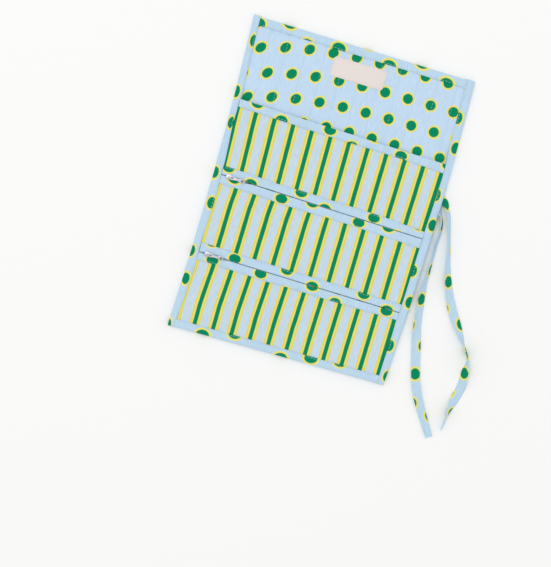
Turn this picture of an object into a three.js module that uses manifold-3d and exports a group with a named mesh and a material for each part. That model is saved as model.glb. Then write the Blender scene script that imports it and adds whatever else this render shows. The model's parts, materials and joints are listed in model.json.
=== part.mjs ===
// Roll-up sewn pouch, open and flat: a quilted cloth that folds in three onto itself under a flap,
// with one slip pocket, two zipped pockets, bound edges, a blank sewn label and a two-tailed tie.
// Millimetres. X runs across the pouch, +Y towards the flap, +Z up. The origin is on the surface
// that the pouch lies on, under the middle of the open pouch.
import * as THREE from "three";
import { mergeVertices } from "three/addons/utils/BufferGeometryUtils.js";
import Module from "manifold-3d";

const wasm = await Module();
wasm.setup();

// Plan sizes
const pouchWidth = 205;
const flapLength = 70.5;
const panel1Length = 71;
const panel2Length = 60.8;
const panel3Length = 56.8;
const bindingWidth = 8;
const cornerLap = 0.3;

// Cloth thicknesses, from the surface up
const bindingCloth = 0.6;
const outerCloth = 0.5;
const wadding = 1.2;
const liningCloth = 0.4;
const pocketCloth = 0.5;
const bandCloth = 0.5;
const tapeCloth = 0.2;
const labelCloth = 0.3;
const layerGap = 0.2;
const bandGap = 0.3;
const pocketSpace = 1;

// Room between the folded layers, and between pieces that follow each other along the pouch
const foldGap = 1.2;
const hingeGap = 0.1;
const splitGap = 0.3;

// How far a cutting block reaches past what it cuts
const cutPast = 1;

// Slip pocket's bound mouth, measured from the fold below it
const mouthFromFold = 4.1;
const mouthBinding = 7.3;
const mouthDrop = 4.7;

// Zips: each zip line lies above a fold, and its cloth bands hide the coil
const zip1FromFold = 12.9;
const zip2FromFold = 14.2;
const upperBand = 7.2;
const lowerBand = 8.2;
const bandLap = 2;
const bandSlit = 2;
const zip1Drop = 7.2;
const zip2Drop = 4.7;
const tapeReach = 6.5;
const coilSlit = 1.2;
const coilWidth = 1.5;
const coilHeight = 0.9;
const coilGap = 0.15;

// Zip slider and its pull
const sliderLength = 9;
const sliderWidth = 4.6;
const lowerPlate = 0.4;
const upperPlate = 0.6;
const sliderNeck = 0.8;
const neckLength = 3;
const sliderGap = 0.2;
const sliderUnderGap = 0.15;
const sliderEndGap = 6.5;
const lugLength = 2.9;
const lugWidth = 1.2;
const lugWall = 0.4;
const lugSill = 0.3;
const pinHole = 0.9;
const pinThickness = 0.5;
const pullThickness = 0.6;
const pullLength = 13.5;
const pullWidth = 3.4;
const pullArm = 0.8;
const pullSideGap = 0.3;
const pullEyeLength = 2.7;
const pullEyeEnd = 0.4;
const pullHole = 1.3;
const pullHoleFromEnd = 2.1;

// Blank label on the flap
const labelWidth = 49;
const labelHeight = 17.5;
const labelCorner = 2;
const labelX = 1;
const labelFromTop = 23;
const labelTurn = -0.8;

// Tie: one long flat band, folded at its middle and sewn behind panel 1, with two free tails
const tieWidth = 8;
const tieThickness = 1;
const tieLift = 0.05;
const tieChamfer = 0.3;
const tieFoldLength = 12;
const tieChannelRoom = 1;
const tieChannelTop = 47;
const tieChannelBottom = 9;
const tieStep = 17;

// Colours and surface
const COLOURS = {
  dotted: 0xc5ddf5,
  striped: 0xc6dce8,
  wadding: 0xf2f1ec,
  label: 0xecdeda,
  tape: 0xb9c4cc,
  metal: 0xd9dadd,
};

function clothMaterial(colour) {
  return new THREE.MeshStandardMaterial({ color: colour, roughness: 0.9, metalness: 0 });
}

function metalMaterial() {
  return new THREE.MeshStandardMaterial({ color: COLOURS.metal, roughness: 0.35, metalness: 0.9 });
}

// Heights of the layers, each worked out from the one below it
const outerBottom = bindingCloth + layerGap;
const outerTop = outerBottom + outerCloth;
const waddingBottom = outerTop + layerGap;
const waddingTop = waddingBottom + wadding;
const liningBottom = waddingTop + layerGap;
const liningTop = liningBottom + liningCloth;
const pocketBottom = liningTop + pocketSpace;
const pocketTop = pocketBottom + pocketCloth;
const thickLipBottom = pocketTop + layerGap;
const thickTop = thickLipBottom + bindingCloth;
const flapLipBottom = liningTop + layerGap;
const flapTop = flapLipBottom + bindingCloth;
const bandBottom = pocketTop + bandGap;
const bandTop = bandBottom + bandCloth;
const tapeTop = pocketBottom - layerGap;
const tapeBottom = tapeTop - tapeCloth;

// Heights on the zip: the slider's plates hold the tape and the bands between them
const sliderBottom = liningTop + sliderUnderGap;
const lowerPlateTop = sliderBottom + lowerPlate;
const coilBottom = lowerPlateTop + coilGap;
const upperPlateBottom = bandTop + sliderGap;
const upperPlateTop = upperPlateBottom + upperPlate;
const pinLevel = upperPlateTop + lugSill + pinHole / 2;
const sliderTop = pinLevel + pinHole / 2 + lugWall;

// Fold C turns on one line, half way up the two layers that it brings together. Folds A and B go round
// a thicker stack, so each is a strip as wide as that stack, which turns on a line at each of its edges.
const hingeLevel = Math.max(thickTop, bandTop) + hingeGap;
const stackC = Math.max(sliderTop + pocketTop, 2 * thickTop) + foldGap;
const stackB = stackC + sliderTop + foldGap;
const stackA = stackB + flapTop + foldGap;
const hingeLevelC = stackC / 2;
const foldBLength = stackB - 2 * hingeLevel;
const foldALength = stackA - 2 * hingeLevel;

// Lines across the pouch, from the flap's edge down
const pouchLength =
  flapLength + foldALength + panel1Length + foldBLength + panel2Length + panel3Length;
const topEdge = pouchLength / 2;
const foldAUpper = topEdge - flapLength;
const foldALower = foldAUpper - foldALength;
const foldBUpper = foldALower - panel1Length;
const foldBLower = foldBUpper - foldBLength;
const foldC = foldBLower - panel2Length;
const bottomEdge = foldC - panel3Length;
const halfWidth = pouchWidth / 2;
const insideX = halfWidth - bindingWidth;
const clothX = halfWidth - bindingCloth - layerGap;

// A line across the pouch that drops from left to right, as it was sewn
function sewnLine(middle, drop) {
  return { left: middle + drop / 2, right: middle - drop / 2 };
}

function level(y) {
  return sewnLine(y, 0);
}

function moved(line, by) {
  return { left: line.left + by, right: line.right + by };
}

function lineAt(line, x) {
  return line.left + ((line.right - line.left) * (x + halfWidth)) / pouchWidth;
}

const mouthLower = sewnLine(foldALower + mouthFromFold, mouthDrop);
const mouthUpper = moved(mouthLower, mouthBinding);
const zip1Line = sewnLine(foldBUpper + zip1FromFold, zip1Drop);
const zip2Line = sewnLine(foldC + zip2FromFold, zip2Drop);

const pouch = new THREE.Group();

function addMesh(parent, name, geometry, material) {
  const mesh = new THREE.Mesh(geometry, material);
  mesh.name = name;
  parent.add(mesh);
  return mesh;
}

// Closed solids from outlines

function slab(points, bottom, top) {
  const shape = new THREE.Shape(points.map(([x, y]) => new THREE.Vector2(x, y)));
  const geometry = new THREE.ExtrudeGeometry(shape, { depth: top - bottom, bevelEnabled: false });
  return geometry.translate(0, 0, bottom);
}

function strip(upper, lower, xLeft, xRight, bottom, top) {
  const outline = [
    [xLeft, lineAt(lower, xLeft)],
    [xRight, lineAt(lower, xRight)],
    [xRight, lineAt(upper, xRight)],
    [xLeft, lineAt(upper, xLeft)],
  ];
  return slab(outline, bottom, top);
}

function block(xLeft, xRight, yLow, yHigh, bottom, top) {
  return strip(level(yHigh), level(yLow), xLeft, xRight, bottom, top);
}

function solidOf(geometry) {
  const bare = geometry.clone();
  bare.deleteAttribute("normal");
  bare.deleteAttribute("uv");
  const merged = mergeVertices(bare, 1e-4);
  const mesh = new wasm.Mesh({
    numProp: 3,
    vertProperties: merged.attributes.position.array,
    triVerts: new Uint32Array(merged.index.array),
  });
  return new wasm.Manifold(mesh);
}

function geometryOf(solid) {
  const mesh = solid.getMesh();
  const geometry = new THREE.BufferGeometry();
  geometry.setAttribute("position", new THREE.BufferAttribute(mesh.vertProperties, 3));
  geometry.setIndex(new THREE.BufferAttribute(mesh.triVerts, 1));
  geometry.computeVertexNormals();
  return geometry;
}

function joined(...geometries) {
  return geometryOf(geometries.map(solidOf).reduce((sum, solid) => sum.add(solid)));
}

function cut(geometry, ...tools) {
  return geometryOf(tools.map(solidOf).reduce((rest, tool) => rest.subtract(tool), solidOf(geometry)));
}

// Quilted cloth: outer cloth, wadding and lining, caught in the side bindings

function addQuilt(prefix, upper, lower) {
  const high = upper - splitGap / 2;
  const low = lower + splitGap / 2;
  const outer = block(-clothX, clothX, low, high, outerBottom, outerTop);
  addMesh(pouch, `${prefix}_outer_cloth`, outer, clothMaterial(COLOURS.striped));
  const fill = block(-clothX, clothX, low, high, waddingBottom, waddingTop);
  addMesh(pouch, `${prefix}_wadding`, fill, clothMaterial(COLOURS.wadding));
  const lining = block(-clothX, clothX, low, high, liningBottom, liningTop);
  addMesh(pouch, `${prefix}_lining`, lining, clothMaterial(COLOURS.dotted));
}

// Panel 1's outer cloth rises over the tie that lies behind it, and its wadding gives way there
function addTiePanelQuilt() {
  const high = foldALower - splitGap / 2;
  const low = foldBUpper + splitGap / 2;
  const rise = tieLift + tieThickness + layerGap - outerBottom;
  const left = -tieFoldLength - tieChannelRoom;
  const flat = block(-clothX, clothX, low, high, outerBottom, outerTop);
  const raised = block(
    left - outerCloth,
    clothX,
    tieChannelBottom - outerCloth,
    tieChannelTop + outerCloth,
    outerBottom,
    outerTop + rise,
  );
  const channel = block(left, halfWidth, tieChannelBottom, tieChannelTop, 0, outerBottom + rise);
  const outer = cut(joined(flat, raised), channel);
  addMesh(pouch, "panel_1_outer_cloth", outer, clothMaterial(COLOURS.striped));
  const dent = block(
    left - outerCloth - layerGap,
    halfWidth,
    tieChannelBottom - outerCloth - layerGap,
    tieChannelTop + outerCloth + layerGap,
    0,
    outerTop + rise + layerGap,
  );
  const fill = cut(block(-clothX, clothX, low, high, waddingBottom, waddingTop), dent);
  addMesh(pouch, "panel_1_wadding", fill, clothMaterial(COLOURS.wadding));
  const lining = block(-clothX, clothX, low, high, liningBottom, liningTop);
  addMesh(pouch, "panel_1_lining", lining, clothMaterial(COLOURS.dotted));
}

// Edge binding: a folded cloth that wraps the edge, a C in section with its mouth inwards

function bindingAlongY(side, low, high, lipBottom) {
  const top = lipBottom + bindingCloth;
  const profile = [
    [0, 0],
    [bindingWidth, 0],
    [bindingWidth, bindingCloth],
    [bindingCloth, bindingCloth],
    [bindingCloth, lipBottom],
    [bindingWidth, lipBottom],
    [bindingWidth, top],
    [0, top],
  ];
  const geometry = slab(profile, low, high);
  // The outline's second axis becomes the height, and its depth runs along the pouch
  geometry.rotateX(Math.PI / 2);
  geometry.translate(-halfWidth, low + high, 0);
  if (side < 0) return geometry;
  return geometry.rotateZ(Math.PI).translate(0, low + high, 0);
}

function bindingAlongX(edge, outward, lipBottom) {
  const reach = insideX - cornerLap;
  const geometry = bindingAlongY(-1, -reach, reach, lipBottom).translate(halfWidth, 0, 0);
  geometry.rotateZ(outward > 0 ? -Math.PI / 2 : Math.PI / 2);
  return geometry.translate(0, edge, 0);
}

function addSideBindings(prefix, upper, lower, lipBottom) {
  const high = upper - splitGap / 2;
  const low = lower + splitGap / 2;
  const left = bindingAlongY(-1, low, high, lipBottom);
  addMesh(pouch, `${prefix}_binding_left`, left, clothMaterial(COLOURS.dotted));
  const right = bindingAlongY(1, low, high, lipBottom);
  addMesh(pouch, `${prefix}_binding_right`, right, clothMaterial(COLOURS.dotted));
}

// Flap: quilt, bindings on three edges and the blank label

function addLabel() {
  const x = labelWidth / 2;
  const y = labelHeight / 2;
  const r = labelCorner;
  const shape = new THREE.Shape();
  shape.moveTo(-x + r, -y);
  shape.lineTo(x - r, -y);
  shape.absarc(x - r, -y + r, r, -Math.PI / 2, 0);
  shape.lineTo(x, y - r);
  shape.absarc(x - r, y - r, r, 0, Math.PI / 2);
  shape.lineTo(-x + r, y);
  shape.absarc(-x + r, y - r, r, Math.PI / 2, Math.PI);
  shape.lineTo(-x, -y + r);
  shape.absarc(-x + r, -y + r, r, Math.PI, 1.5 * Math.PI);
  const options = { depth: labelCloth, bevelEnabled: false, curveSegments: 4 };
  const geometry = new THREE.ExtrudeGeometry(shape, options);
  geometry.rotateZ(THREE.MathUtils.degToRad(labelTurn));
  geometry.translate(labelX, topEdge - labelFromTop, liningTop + layerGap);
  addMesh(pouch, "label", geometry, clothMaterial(COLOURS.label));
}

function addFlap() {
  addQuilt("flap", topEdge - bindingCloth - layerGap, foldAUpper);
  addSideBindings("flap", topEdge, foldAUpper, flapLipBottom);
  const top = bindingAlongX(topEdge, 1, flapLipBottom);
  addMesh(pouch, "flap_binding_top", top, clothMaterial(COLOURS.dotted));
  addLabel();
}

// Fold A carries the slip pocket's mouth: its binding and the top of its front

function addFoldA() {
  addQuilt("fold_a", foldAUpper, foldALower);
  addSideBindings("fold_a", foldAUpper, foldALower, thickLipBottom);
  const low = level(foldALower + splitGap / 2);
  const underMouth = moved(mouthLower, bandLap);
  const front = strip(underMouth, low, -clothX, clothX, pocketBottom, pocketTop);
  addMesh(pouch, "pocket_1_front_upper", front, clothMaterial(COLOURS.striped));
  const reach = insideX - cornerLap;
  const mouth = strip(mouthUpper, mouthLower, -reach, reach, bandBottom, bandTop);
  addMesh(pouch, "pocket_1_mouth_binding", mouth, clothMaterial(COLOURS.dotted));
}

// Zip: two bands meet over the coil, and the slider's neck runs in the slit between them.
// It is built along its own X, and the group is turned to the line that it was sewn on.

function zipGroup(line) {
  const group = new THREE.Group();
  const drop = line.left - line.right;
  group.position.set(0, (line.left + line.right) / 2, 0);
  group.rotation.z = -Math.atan2(drop, pouchWidth);
  pouch.add(group);
  return group;
}

function addZipBands(name, line) {
  const reach = insideX - cornerLap;
  const upperLow = moved(line, bandSlit / 2);
  const upper = strip(moved(line, upperBand), upperLow, -reach, reach, bandBottom, bandTop);
  addMesh(pouch, `${name}_upper_band`, upper, clothMaterial(COLOURS.dotted));
  const lowerHigh = moved(line, -bandSlit / 2);
  const lower = strip(lowerHigh, moved(line, -lowerBand), -reach, reach, bandBottom, bandTop);
  addMesh(pouch, `${name}_lower_band`, lower, clothMaterial(COLOURS.dotted));
}

function sliderGeometry() {
  const long = sliderLength / 2;
  const wide = sliderWidth / 2;
  const lower = block(-long, long, -wide, wide, sliderBottom, lowerPlateTop);
  const upper = block(-long, long, -wide, wide, upperPlateBottom, upperPlateTop);
  const neck = block(
    -neckLength / 2,
    neckLength / 2,
    -sliderNeck / 2,
    sliderNeck / 2,
    sliderBottom,
    upperPlateTop,
  );
  const lug = block(-lugLength / 2, lugLength / 2, -lugWidth / 2, lugWidth / 2, upperPlateBottom, sliderTop);
  const hole = block(
    -pinHole / 2,
    pinHole / 2,
    -lugWidth,
    lugWidth,
    pinLevel - pinHole / 2,
    pinLevel + pinHole / 2,
  );
  return joined(lower, upper, neck, cut(lug, hole));
}

// The pull's pin is at its own origin, and it lies flat towards +X
function pullGeometry() {
  const eyeSide = lugWidth / 2 + pullSideGap;
  const halfEye = eyeSide + pullArm;
  const thick = pullThickness / 2;
  const halfPin = pinThickness / 2;
  const pin = block(-halfPin, halfPin, -halfEye, halfEye, -halfPin, halfPin);
  const arms = [-1, 1].map((side) => {
    const near = side > 0 ? eyeSide : -halfEye;
    return block(-halfPin, pullEyeLength, near, near + pullArm, -thick, thick);
  });
  const tab = block(pullEyeLength - pullEyeEnd, pullLength, -pullWidth / 2, pullWidth / 2, -thick, thick);
  const hole = new THREE.CylinderGeometry(pullHole / 2, pullHole / 2, pullThickness * 3, 12);
  hole.rotateX(Math.PI / 2);
  hole.translate(pullLength - pullHoleFromEnd, 0, 0);
  return cut(joined(pin, ...arms, tab), hole);
}

function addZip(name, line) {
  addZipBands(name, line);
  const group = zipGroup(line);
  const reach = insideX - cornerLap - splitGap;
  const coilSide = coilSlit / 2;
  const tapeSide = coilSide + coilWidth / 2;
  const coilTop = coilBottom + coilHeight;
  const upperTape = joined(
    block(-reach, reach, tapeSide, tapeReach, tapeBottom, tapeTop),
    block(-reach, reach, coilSide, coilSide + coilWidth, coilBottom, coilTop),
  );
  addMesh(group, `${name}_upper_tape`, upperTape, clothMaterial(COLOURS.tape));
  const lowerTape = joined(
    block(-reach, reach, -tapeReach, -tapeSide, tapeBottom, tapeTop),
    block(-reach, reach, -coilSide - coilWidth, -coilSide, coilBottom, coilTop),
  );
  addMesh(group, `${name}_lower_tape`, lowerTape, clothMaterial(COLOURS.tape));
  const sliderX = -insideX + sliderEndGap + sliderLength / 2;
  const slider = addMesh(group, `${name}_slider`, sliderGeometry(), metalMaterial());
  slider.position.x = sliderX;
  const pull = addMesh(group, `${name}_pull`, pullGeometry(), metalMaterial());
  pull.position.set(sliderX, 0, pinLevel);
}

// Panels 1 and 2 each end in a zip, and the next pocket's front starts below its lower band

function addFront(name, upper, lower) {
  const front = strip(upper, lower, -clothX, clothX, pocketBottom, pocketTop);
  addMesh(pouch, name, front, clothMaterial(COLOURS.striped));
}

function underLowerBand(line) {
  return moved(line, bandLap - lowerBand);
}

function underUpperBand(line) {
  return moved(line, upperBand - bandLap);
}

function addPanel1() {
  addTiePanelQuilt();
  const high = level(foldALower - splitGap / 2);
  addFront("pocket_1_front", high, underUpperBand(zip1Line));
  addZip("zip_1", zip1Line);
  addFront("pocket_2_front_top", underLowerBand(zip1Line), level(foldBUpper + splitGap / 2));
  const low = foldBUpper + splitGap / 2;
  const left = bindingAlongY(-1, low, foldALower - splitGap / 2, thickLipBottom);
  addMesh(pouch, "panel_1_binding_left", left, clothMaterial(COLOURS.dotted));
  const whole = bindingAlongY(1, low, foldALower - splitGap / 2, thickLipBottom);
  const exitTop = tieLift + tieThickness + layerGap;
  const inside = insideX - cutPast;
  const outside = halfWidth + cutPast;
  const exit = block(inside, outside, tieChannelBottom, tieChannelTop, -cutPast, exitTop);
  addMesh(pouch, "panel_1_binding_right", cut(whole, exit), clothMaterial(COLOURS.dotted));
}

function addFoldB() {
  addQuilt("fold_b", foldBUpper, foldBLower);
  addSideBindings("fold_b", foldBUpper, foldBLower, thickLipBottom);
  addFront("pocket_2_front_upper", level(foldBUpper - splitGap / 2), level(foldBLower + splitGap / 2));
}

function addPanel2() {
  addQuilt("panel_2", foldBLower, foldC);
  addSideBindings("panel_2", foldBLower, foldC, thickLipBottom);
  addFront("pocket_2_front", level(foldBLower - splitGap / 2), underUpperBand(zip2Line));
  addZip("zip_2", zip2Line);
  addFront("pocket_3_front_top", underLowerBand(zip2Line), level(foldC + splitGap / 2));
}

function addPanel3() {
  const edge = bottomEdge + bindingCloth + layerGap - splitGap / 2;
  addQuilt("panel_3", foldC, edge);
  addSideBindings("panel_3", foldC, bottomEdge, thickLipBottom);
  addFront("pocket_3_front", level(foldC - splitGap / 2), level(edge + splitGap / 2));
  const bottom = bindingAlongX(bottomEdge, -1, thickLipBottom);
  addMesh(pouch, "panel_3_binding_bottom", bottom, clothMaterial(COLOURS.dotted));
}

// Tie: the tails' centre lines, from the sewn middle to the free ends, on the surface and under panel 1

const tieInnerRoute = [
  [0.3, 27, 0.55],
  [30, 28, 0.55],
  [60, 29, 0.55],
  [84, 29.2, 0.55],
  [99, 26.4, 0.55],
  [107.4, 18.4, 0.56],
  [110.4, 7, 0.7],
  [111, -9, 1.4],
  [111.8, -31, 0.9],
  [111.4, -44.4, 0.7],
  [111.9, -57.8, 1.1],
  [113.5, -72.7, 1.9],
  [116.1, -88.3, 1.6],
  [120.1, -103.5, 0.8],
  [126.6, -125.4, 1.2],
  [132.1, -141.1, 2],
  [139.2, -154.1, 1.3],
  [148.2, -168.1, 0.7],
  [155.9, -180.2, 0.6],
];
const tieOuterRoute = [
  [0.3, 38.5, 0.55],
  [30, 40, 0.55],
  [60, 41.6, 0.55],
  [82, 42.2, 0.55],
  [96, 39.8, 0.55],
  [105.4, 33.8, 0.56],
  [112, 26.2, 0.7],
  [116.3, 17.5, 1.2],
  [119.4, 8, 1.5],
  [122.9, -5.5, 1.2],
  [126.1, -20.7, 0.7],
  [130.5, -35.5, 0.8],
  [136, -50, 1.4],
  [143.5, -62.6, 1.6],
  [152.1, -73.6, 1.2],
  [160.2, -85.4, 1.8],
  [167, -96.4, 4.4],
  [170.8, -106, 4.2],
  [172, -115, 2.2],
  [172.2, -126, 1],
  [170.6, -139, 1.6],
  [168.4, -152.6, 1.8],
  [166.6, -161.6, 0.9],
  [165.1, -169.8, 0.6],
];

function tailGeometry(route) {
  const path = new THREE.CatmullRomCurve3(route.map((p) => new THREE.Vector3(...p)), false, "centripetal");
  const w = tieWidth / 2;
  const t = tieThickness / 2;
  const c = tieChamfer;
  const corners = [
    [-t, -w + c],
    [-t + c, -w],
    [t - c, -w],
    [t, -w + c],
    [t, w - c],
    [t - c, w],
    [-t + c, w],
    [-t, w - c],
  ];
  const section = new THREE.Shape(corners.map(([x, y]) => new THREE.Vector2(x, y)));
  const steps = Math.round(path.getLength() / tieStep);
  return new THREE.ExtrudeGeometry(section, { steps, extrudePath: path, bevelEnabled: false });
}

function addTie() {
  addMesh(pouch, "tie_tail_inner", tailGeometry(tieInnerRoute), clothMaterial(COLOURS.dotted));
  addMesh(pouch, "tie_tail_outer", tailGeometry(tieOuterRoute), clothMaterial(COLOURS.dotted));
  const low = tieInnerRoute[0][1] - tieWidth / 2;
  const high = tieOuterRoute[0][1] + tieWidth / 2;
  const middle = block(-tieFoldLength, 0, low, high, tieLift, tieLift + tieThickness);
  addMesh(pouch, "tie_middle", middle, clothMaterial(COLOURS.dotted));
}

addFlap();
addFoldA();
addPanel1();
addFoldB();
addPanel2();
addPanel3();
addTie();

// Sizes that the joints and the mount take from this file
console.log("pouch", pouchWidth, pouchLength, "thickness", thickTop, "slider top", sliderTop);
console.log("folds", { foldAUpper, foldALower, foldBUpper, foldBLower, foldC, hingeLevel, hingeLevelC });
console.log("stacks", { stackA, stackB, stackC });
for (const [name, line] of Object.entries({ zip1Line, zip2Line })) {
  const turn = -Math.atan2(line.left - line.right, pouchWidth);
  const along = -insideX + sliderEndGap + sliderLength / 2;
  const x = along * Math.cos(turn);
  const y = (line.left + line.right) / 2 + along * Math.sin(turn);
  console.log(name, { axisX: Math.cos(turn), axisY: Math.sin(turn), x, y, pinLevel, travel: -2 * along });
}

export default pouch;
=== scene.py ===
# %% [markdown]
# A roll-up sewn pouch, lying open. Cotton with printed stripes makes its outside and its pocket fronts,
# cotton with printed dots makes the lining, the zip bands, the edge bindings and the tie.
# The imported model is the frame: every piece below takes its place from it, and some of them move with
# one of its bodies. Lengths are in millimetres until a mesh is made, because that is how a pouch is drawn
# and cut.

# %% Load the frame
import json
import math

import bmesh
import bpy
import numpy as np
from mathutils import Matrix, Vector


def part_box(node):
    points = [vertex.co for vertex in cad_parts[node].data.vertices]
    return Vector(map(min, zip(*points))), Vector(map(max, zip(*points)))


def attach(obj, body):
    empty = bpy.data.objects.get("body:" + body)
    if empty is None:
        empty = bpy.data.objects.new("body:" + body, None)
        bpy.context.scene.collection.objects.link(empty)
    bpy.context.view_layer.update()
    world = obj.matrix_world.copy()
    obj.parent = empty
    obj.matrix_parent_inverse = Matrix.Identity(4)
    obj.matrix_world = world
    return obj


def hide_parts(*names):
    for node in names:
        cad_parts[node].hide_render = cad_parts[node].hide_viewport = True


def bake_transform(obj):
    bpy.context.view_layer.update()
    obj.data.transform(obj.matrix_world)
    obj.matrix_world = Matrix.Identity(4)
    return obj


MM = 0.001
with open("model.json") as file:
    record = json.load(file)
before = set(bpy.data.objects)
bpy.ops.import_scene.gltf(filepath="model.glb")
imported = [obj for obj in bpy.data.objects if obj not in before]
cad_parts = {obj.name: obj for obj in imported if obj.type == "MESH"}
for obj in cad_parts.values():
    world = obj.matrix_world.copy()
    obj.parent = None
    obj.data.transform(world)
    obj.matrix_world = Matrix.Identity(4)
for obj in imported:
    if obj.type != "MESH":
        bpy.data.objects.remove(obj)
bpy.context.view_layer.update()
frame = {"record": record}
joints = {joint["name"]: joint for joint in frame["record"]["behaviour"]["joints"]}


def box_mm(node):
    return [np.array(corner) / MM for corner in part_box(node)]


# %% Plan and heights, read from the frame
half_width = box_mm("flap_binding_right")[1][0]
binding_width = half_width - box_mm("flap_binding_right")[0][0]
top_edge = box_mm("flap_binding_top")[1][1]
bottom_edge = box_mm("panel_3_binding_bottom")[0][1]
lining_top = box_mm("flap_lining")[1][2]
front_top = box_mm("pocket_1_front")[1][2]
lip_top = box_mm("panel_2_binding_left")[1][2]
flap_lip_top = box_mm("flap_binding_left")[1][2]
band_bottom = box_mm("zip_1_upper_band")[0][2]
band_reach, _, band_top = box_mm("zip_1_upper_band")[1]
print("width", 2 * half_width, "length", top_edge - bottom_edge, "lining at", round(lining_top, 2))

# %% [markdown]
# The camera looks almost straight down and is turned about its own line of sight, which lays the pouch
# slantwise across the picture. Its place was fitted to the pouch's whole outline. A long lens from 1.2 m
# keeps the sides nearly parallel. The pouch lies on a plain pale table, whose own colour makes the white
# background. Even light shows a colour about as it is written, and one large soft lamp from the upper
# left gives the seams and the tie their soft shadows.

# %% Camera


def link(data, name):
    piece = bpy.data.objects.new(name, data)
    bpy.context.scene.collection.objects.link(piece)
    return piece


camera = link(bpy.data.cameras.new("camera"), "camera")
camera.location = (-0.0612, 0.0795, 1.2)
camera.rotation_euler = (math.radians(-7.867), math.radians(0.123), math.radians(15.803))
camera.data.sensor_width = 36
camera.data.lens = 84.56
bpy.context.scene.camera = camera
print("camera at", tuple(camera.location), "lens", camera.data.lens)

# %% Table and light
table_mesh = bpy.data.meshes.new("table")
table_mesh.from_pydata([(-2, -2, 0), (2, -2, 0), (2, 2, 0), (-2, 2, 0)], [], [(0, 1, 2, 3)])
table = link(table_mesh, "table")

lamp = link(bpy.data.lights.new("soft_lamp", "AREA"), "soft_lamp")
lamp.data.shape = "DISK"
lamp.data.size = 2.6
lamp.data.energy = 30
lamp.location = (-0.8, 0.9, 3.2)
lamp.rotation_euler = lamp.location.to_track_quat("Z", "Y").to_euler()

world = bpy.data.worlds.new("studio")
world.use_nodes = True
background = next(node for node in world.node_tree.nodes if node.type == "BACKGROUND")
background.inputs["Color"].default_value = (1, 1, 1, 1)
background.inputs["Strength"].default_value = 0.81
bpy.context.scene.world = world
bpy.context.scene.view_settings.view_transform = "Standard"
print("lamp", lamp.data.energy, "W and even light", background.inputs["Strength"].default_value)

# %% [markdown]
# The finishes are written as expressions. A Value wraps one socket of a shader's nodes, so that a plus or
# a minus adds a Math node, and its node method adds any other one. A colour is mixed with a Mix node, because
# a Math node would turn it grey. The same add_node makes the geometry nodes further down.

# %% Node helpers


def plug(socket, value):
    """Links a node's output to a socket, or gives the socket a plain value."""
    value = getattr(value, "socket", value)
    if isinstance(value, bpy.types.NodeSocket):
        socket.id_data.links.new(value, socket)
    else:
        socket.default_value = value


def add_node(tree, kind, settings, *inputs, **named):
    """Adds a node. Its inputs are given in order, or by name with _ for a space."""
    node = tree.nodes.new(kind)
    for key, value in settings.items():
        setattr(node, key, value)
    for key, value in [*enumerate(inputs), *named.items()]:
        plug(node.inputs[key if isinstance(key, int) else key.replace("_", " ")], value)
    return node


class Value:
    """A socket of a shader's nodes that can be reckoned with."""

    def __init__(self, socket):
        self.socket = socket

    def node(self, kind, settings, *inputs, output=0, **named):
        return Value(add_node(self.socket.id_data, kind, settings, *inputs, **named).outputs[output])

    def maths(self, operation, other=0):
        return self.node("ShaderNodeMath", {"operation": operation}, self, other)

    def vector_maths(self, operation, other=(0, 0, 0), **more):
        return self.node("ShaderNodeVectorMath", {"operation": operation}, self, other, **more)

    def __add__(self, other):
        return self.maths("ADD", other)

    def __sub__(self, other):
        return self.maths("SUBTRACT", other)

    def __mul__(self, other):
        return self.maths("MULTIPLY", other)

    def sine(self, half_wave):
        return (self * (math.pi / half_wave)).maths("SINE")

    def ridges(self, pitch):
        """A sine wave between 0 and 1."""
        return self.sine(pitch) * 0.5 + 0.5

    def to_nearest(self, pitch):
        """Distance to the nearest multiple of pitch."""
        return self.maths("PINGPONG", pitch / 2)

    def below(self, limit, soft):
        """1 where the value is under limit, 0 above it, with a soft edge between."""
        return self.node("ShaderNodeMapRange", {"interpolation_type": "SMOOTHSTEP"},
                         self, limit + soft, limit - soft, 0, 1)

    def xy(self):
        split = add_node(self.socket.id_data, "ShaderNodeSeparateXYZ", {}, self)
        return Value(split.outputs[0]), Value(split.outputs[1])

    def noise(self, scale, detail=2):
        return self.node("ShaderNodeTexNoise", {}, Vector=self, Scale=scale, Detail=detail)

    def streaks(self, x, y):
        """Noise that is stretched along x or y."""
        return self.vector_maths("MULTIPLY", (x, y, 1)).noise(1.0)

    def mix(self, first, second):
        """The first colour where the value is 0, and the second where it is 1."""
        node = add_node(self.socket.id_data, "ShaderNodeMix", {"data_type": "RGBA"}, self)
        plug(node.inputs[6], first)
        plug(node.inputs[7], second)
        return Value(node.outputs[2])


class Shader:
    def __init__(self, name):
        self.material = bpy.data.materials.new(name)
        self.material.use_nodes = True
        self.tree = self.material.node_tree
        self.surface = next(node for node in self.tree.nodes if node.type == "BSDF_PRINCIPLED")

    def uv(self, name):
        return Value(add_node(self.tree, "ShaderNodeUVMap", {"uv_map": name}).outputs[0])

    def on_object(self):
        return Value(add_node(self.tree, "ShaderNodeTexCoord", {}).outputs[3])

    def finish(self, colour, height=None, depth=0.0001, **settings):
        """Colour and relief go to the surface, and so does each setting."""
        if height is not None:
            bump = dict(Height=height, Distance=depth, Strength=1.0)
            settings["Normal"] = height.node("ShaderNodeBump", {}, **bump)
        for key, value in {"Base_Color": colour, **settings}.items():
            plug(self.surface.inputs[key.replace("_", " ")], value)
        return self.material


def ink(red, green, blue):
    """A colour as it is seen on screen, 0 to 255, turned into the linear values that light works with."""
    seen = [value / 255 for value in (red, green, blue)]
    return (*[v / 12.92 if v <= 0.04045 else ((v + 0.055) / 1.055) ** 2.4 for v in seen], 1)


def shade(colour, factor):
    return [min(1, value * factor) for value in colour[:3]] + [1]


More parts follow.
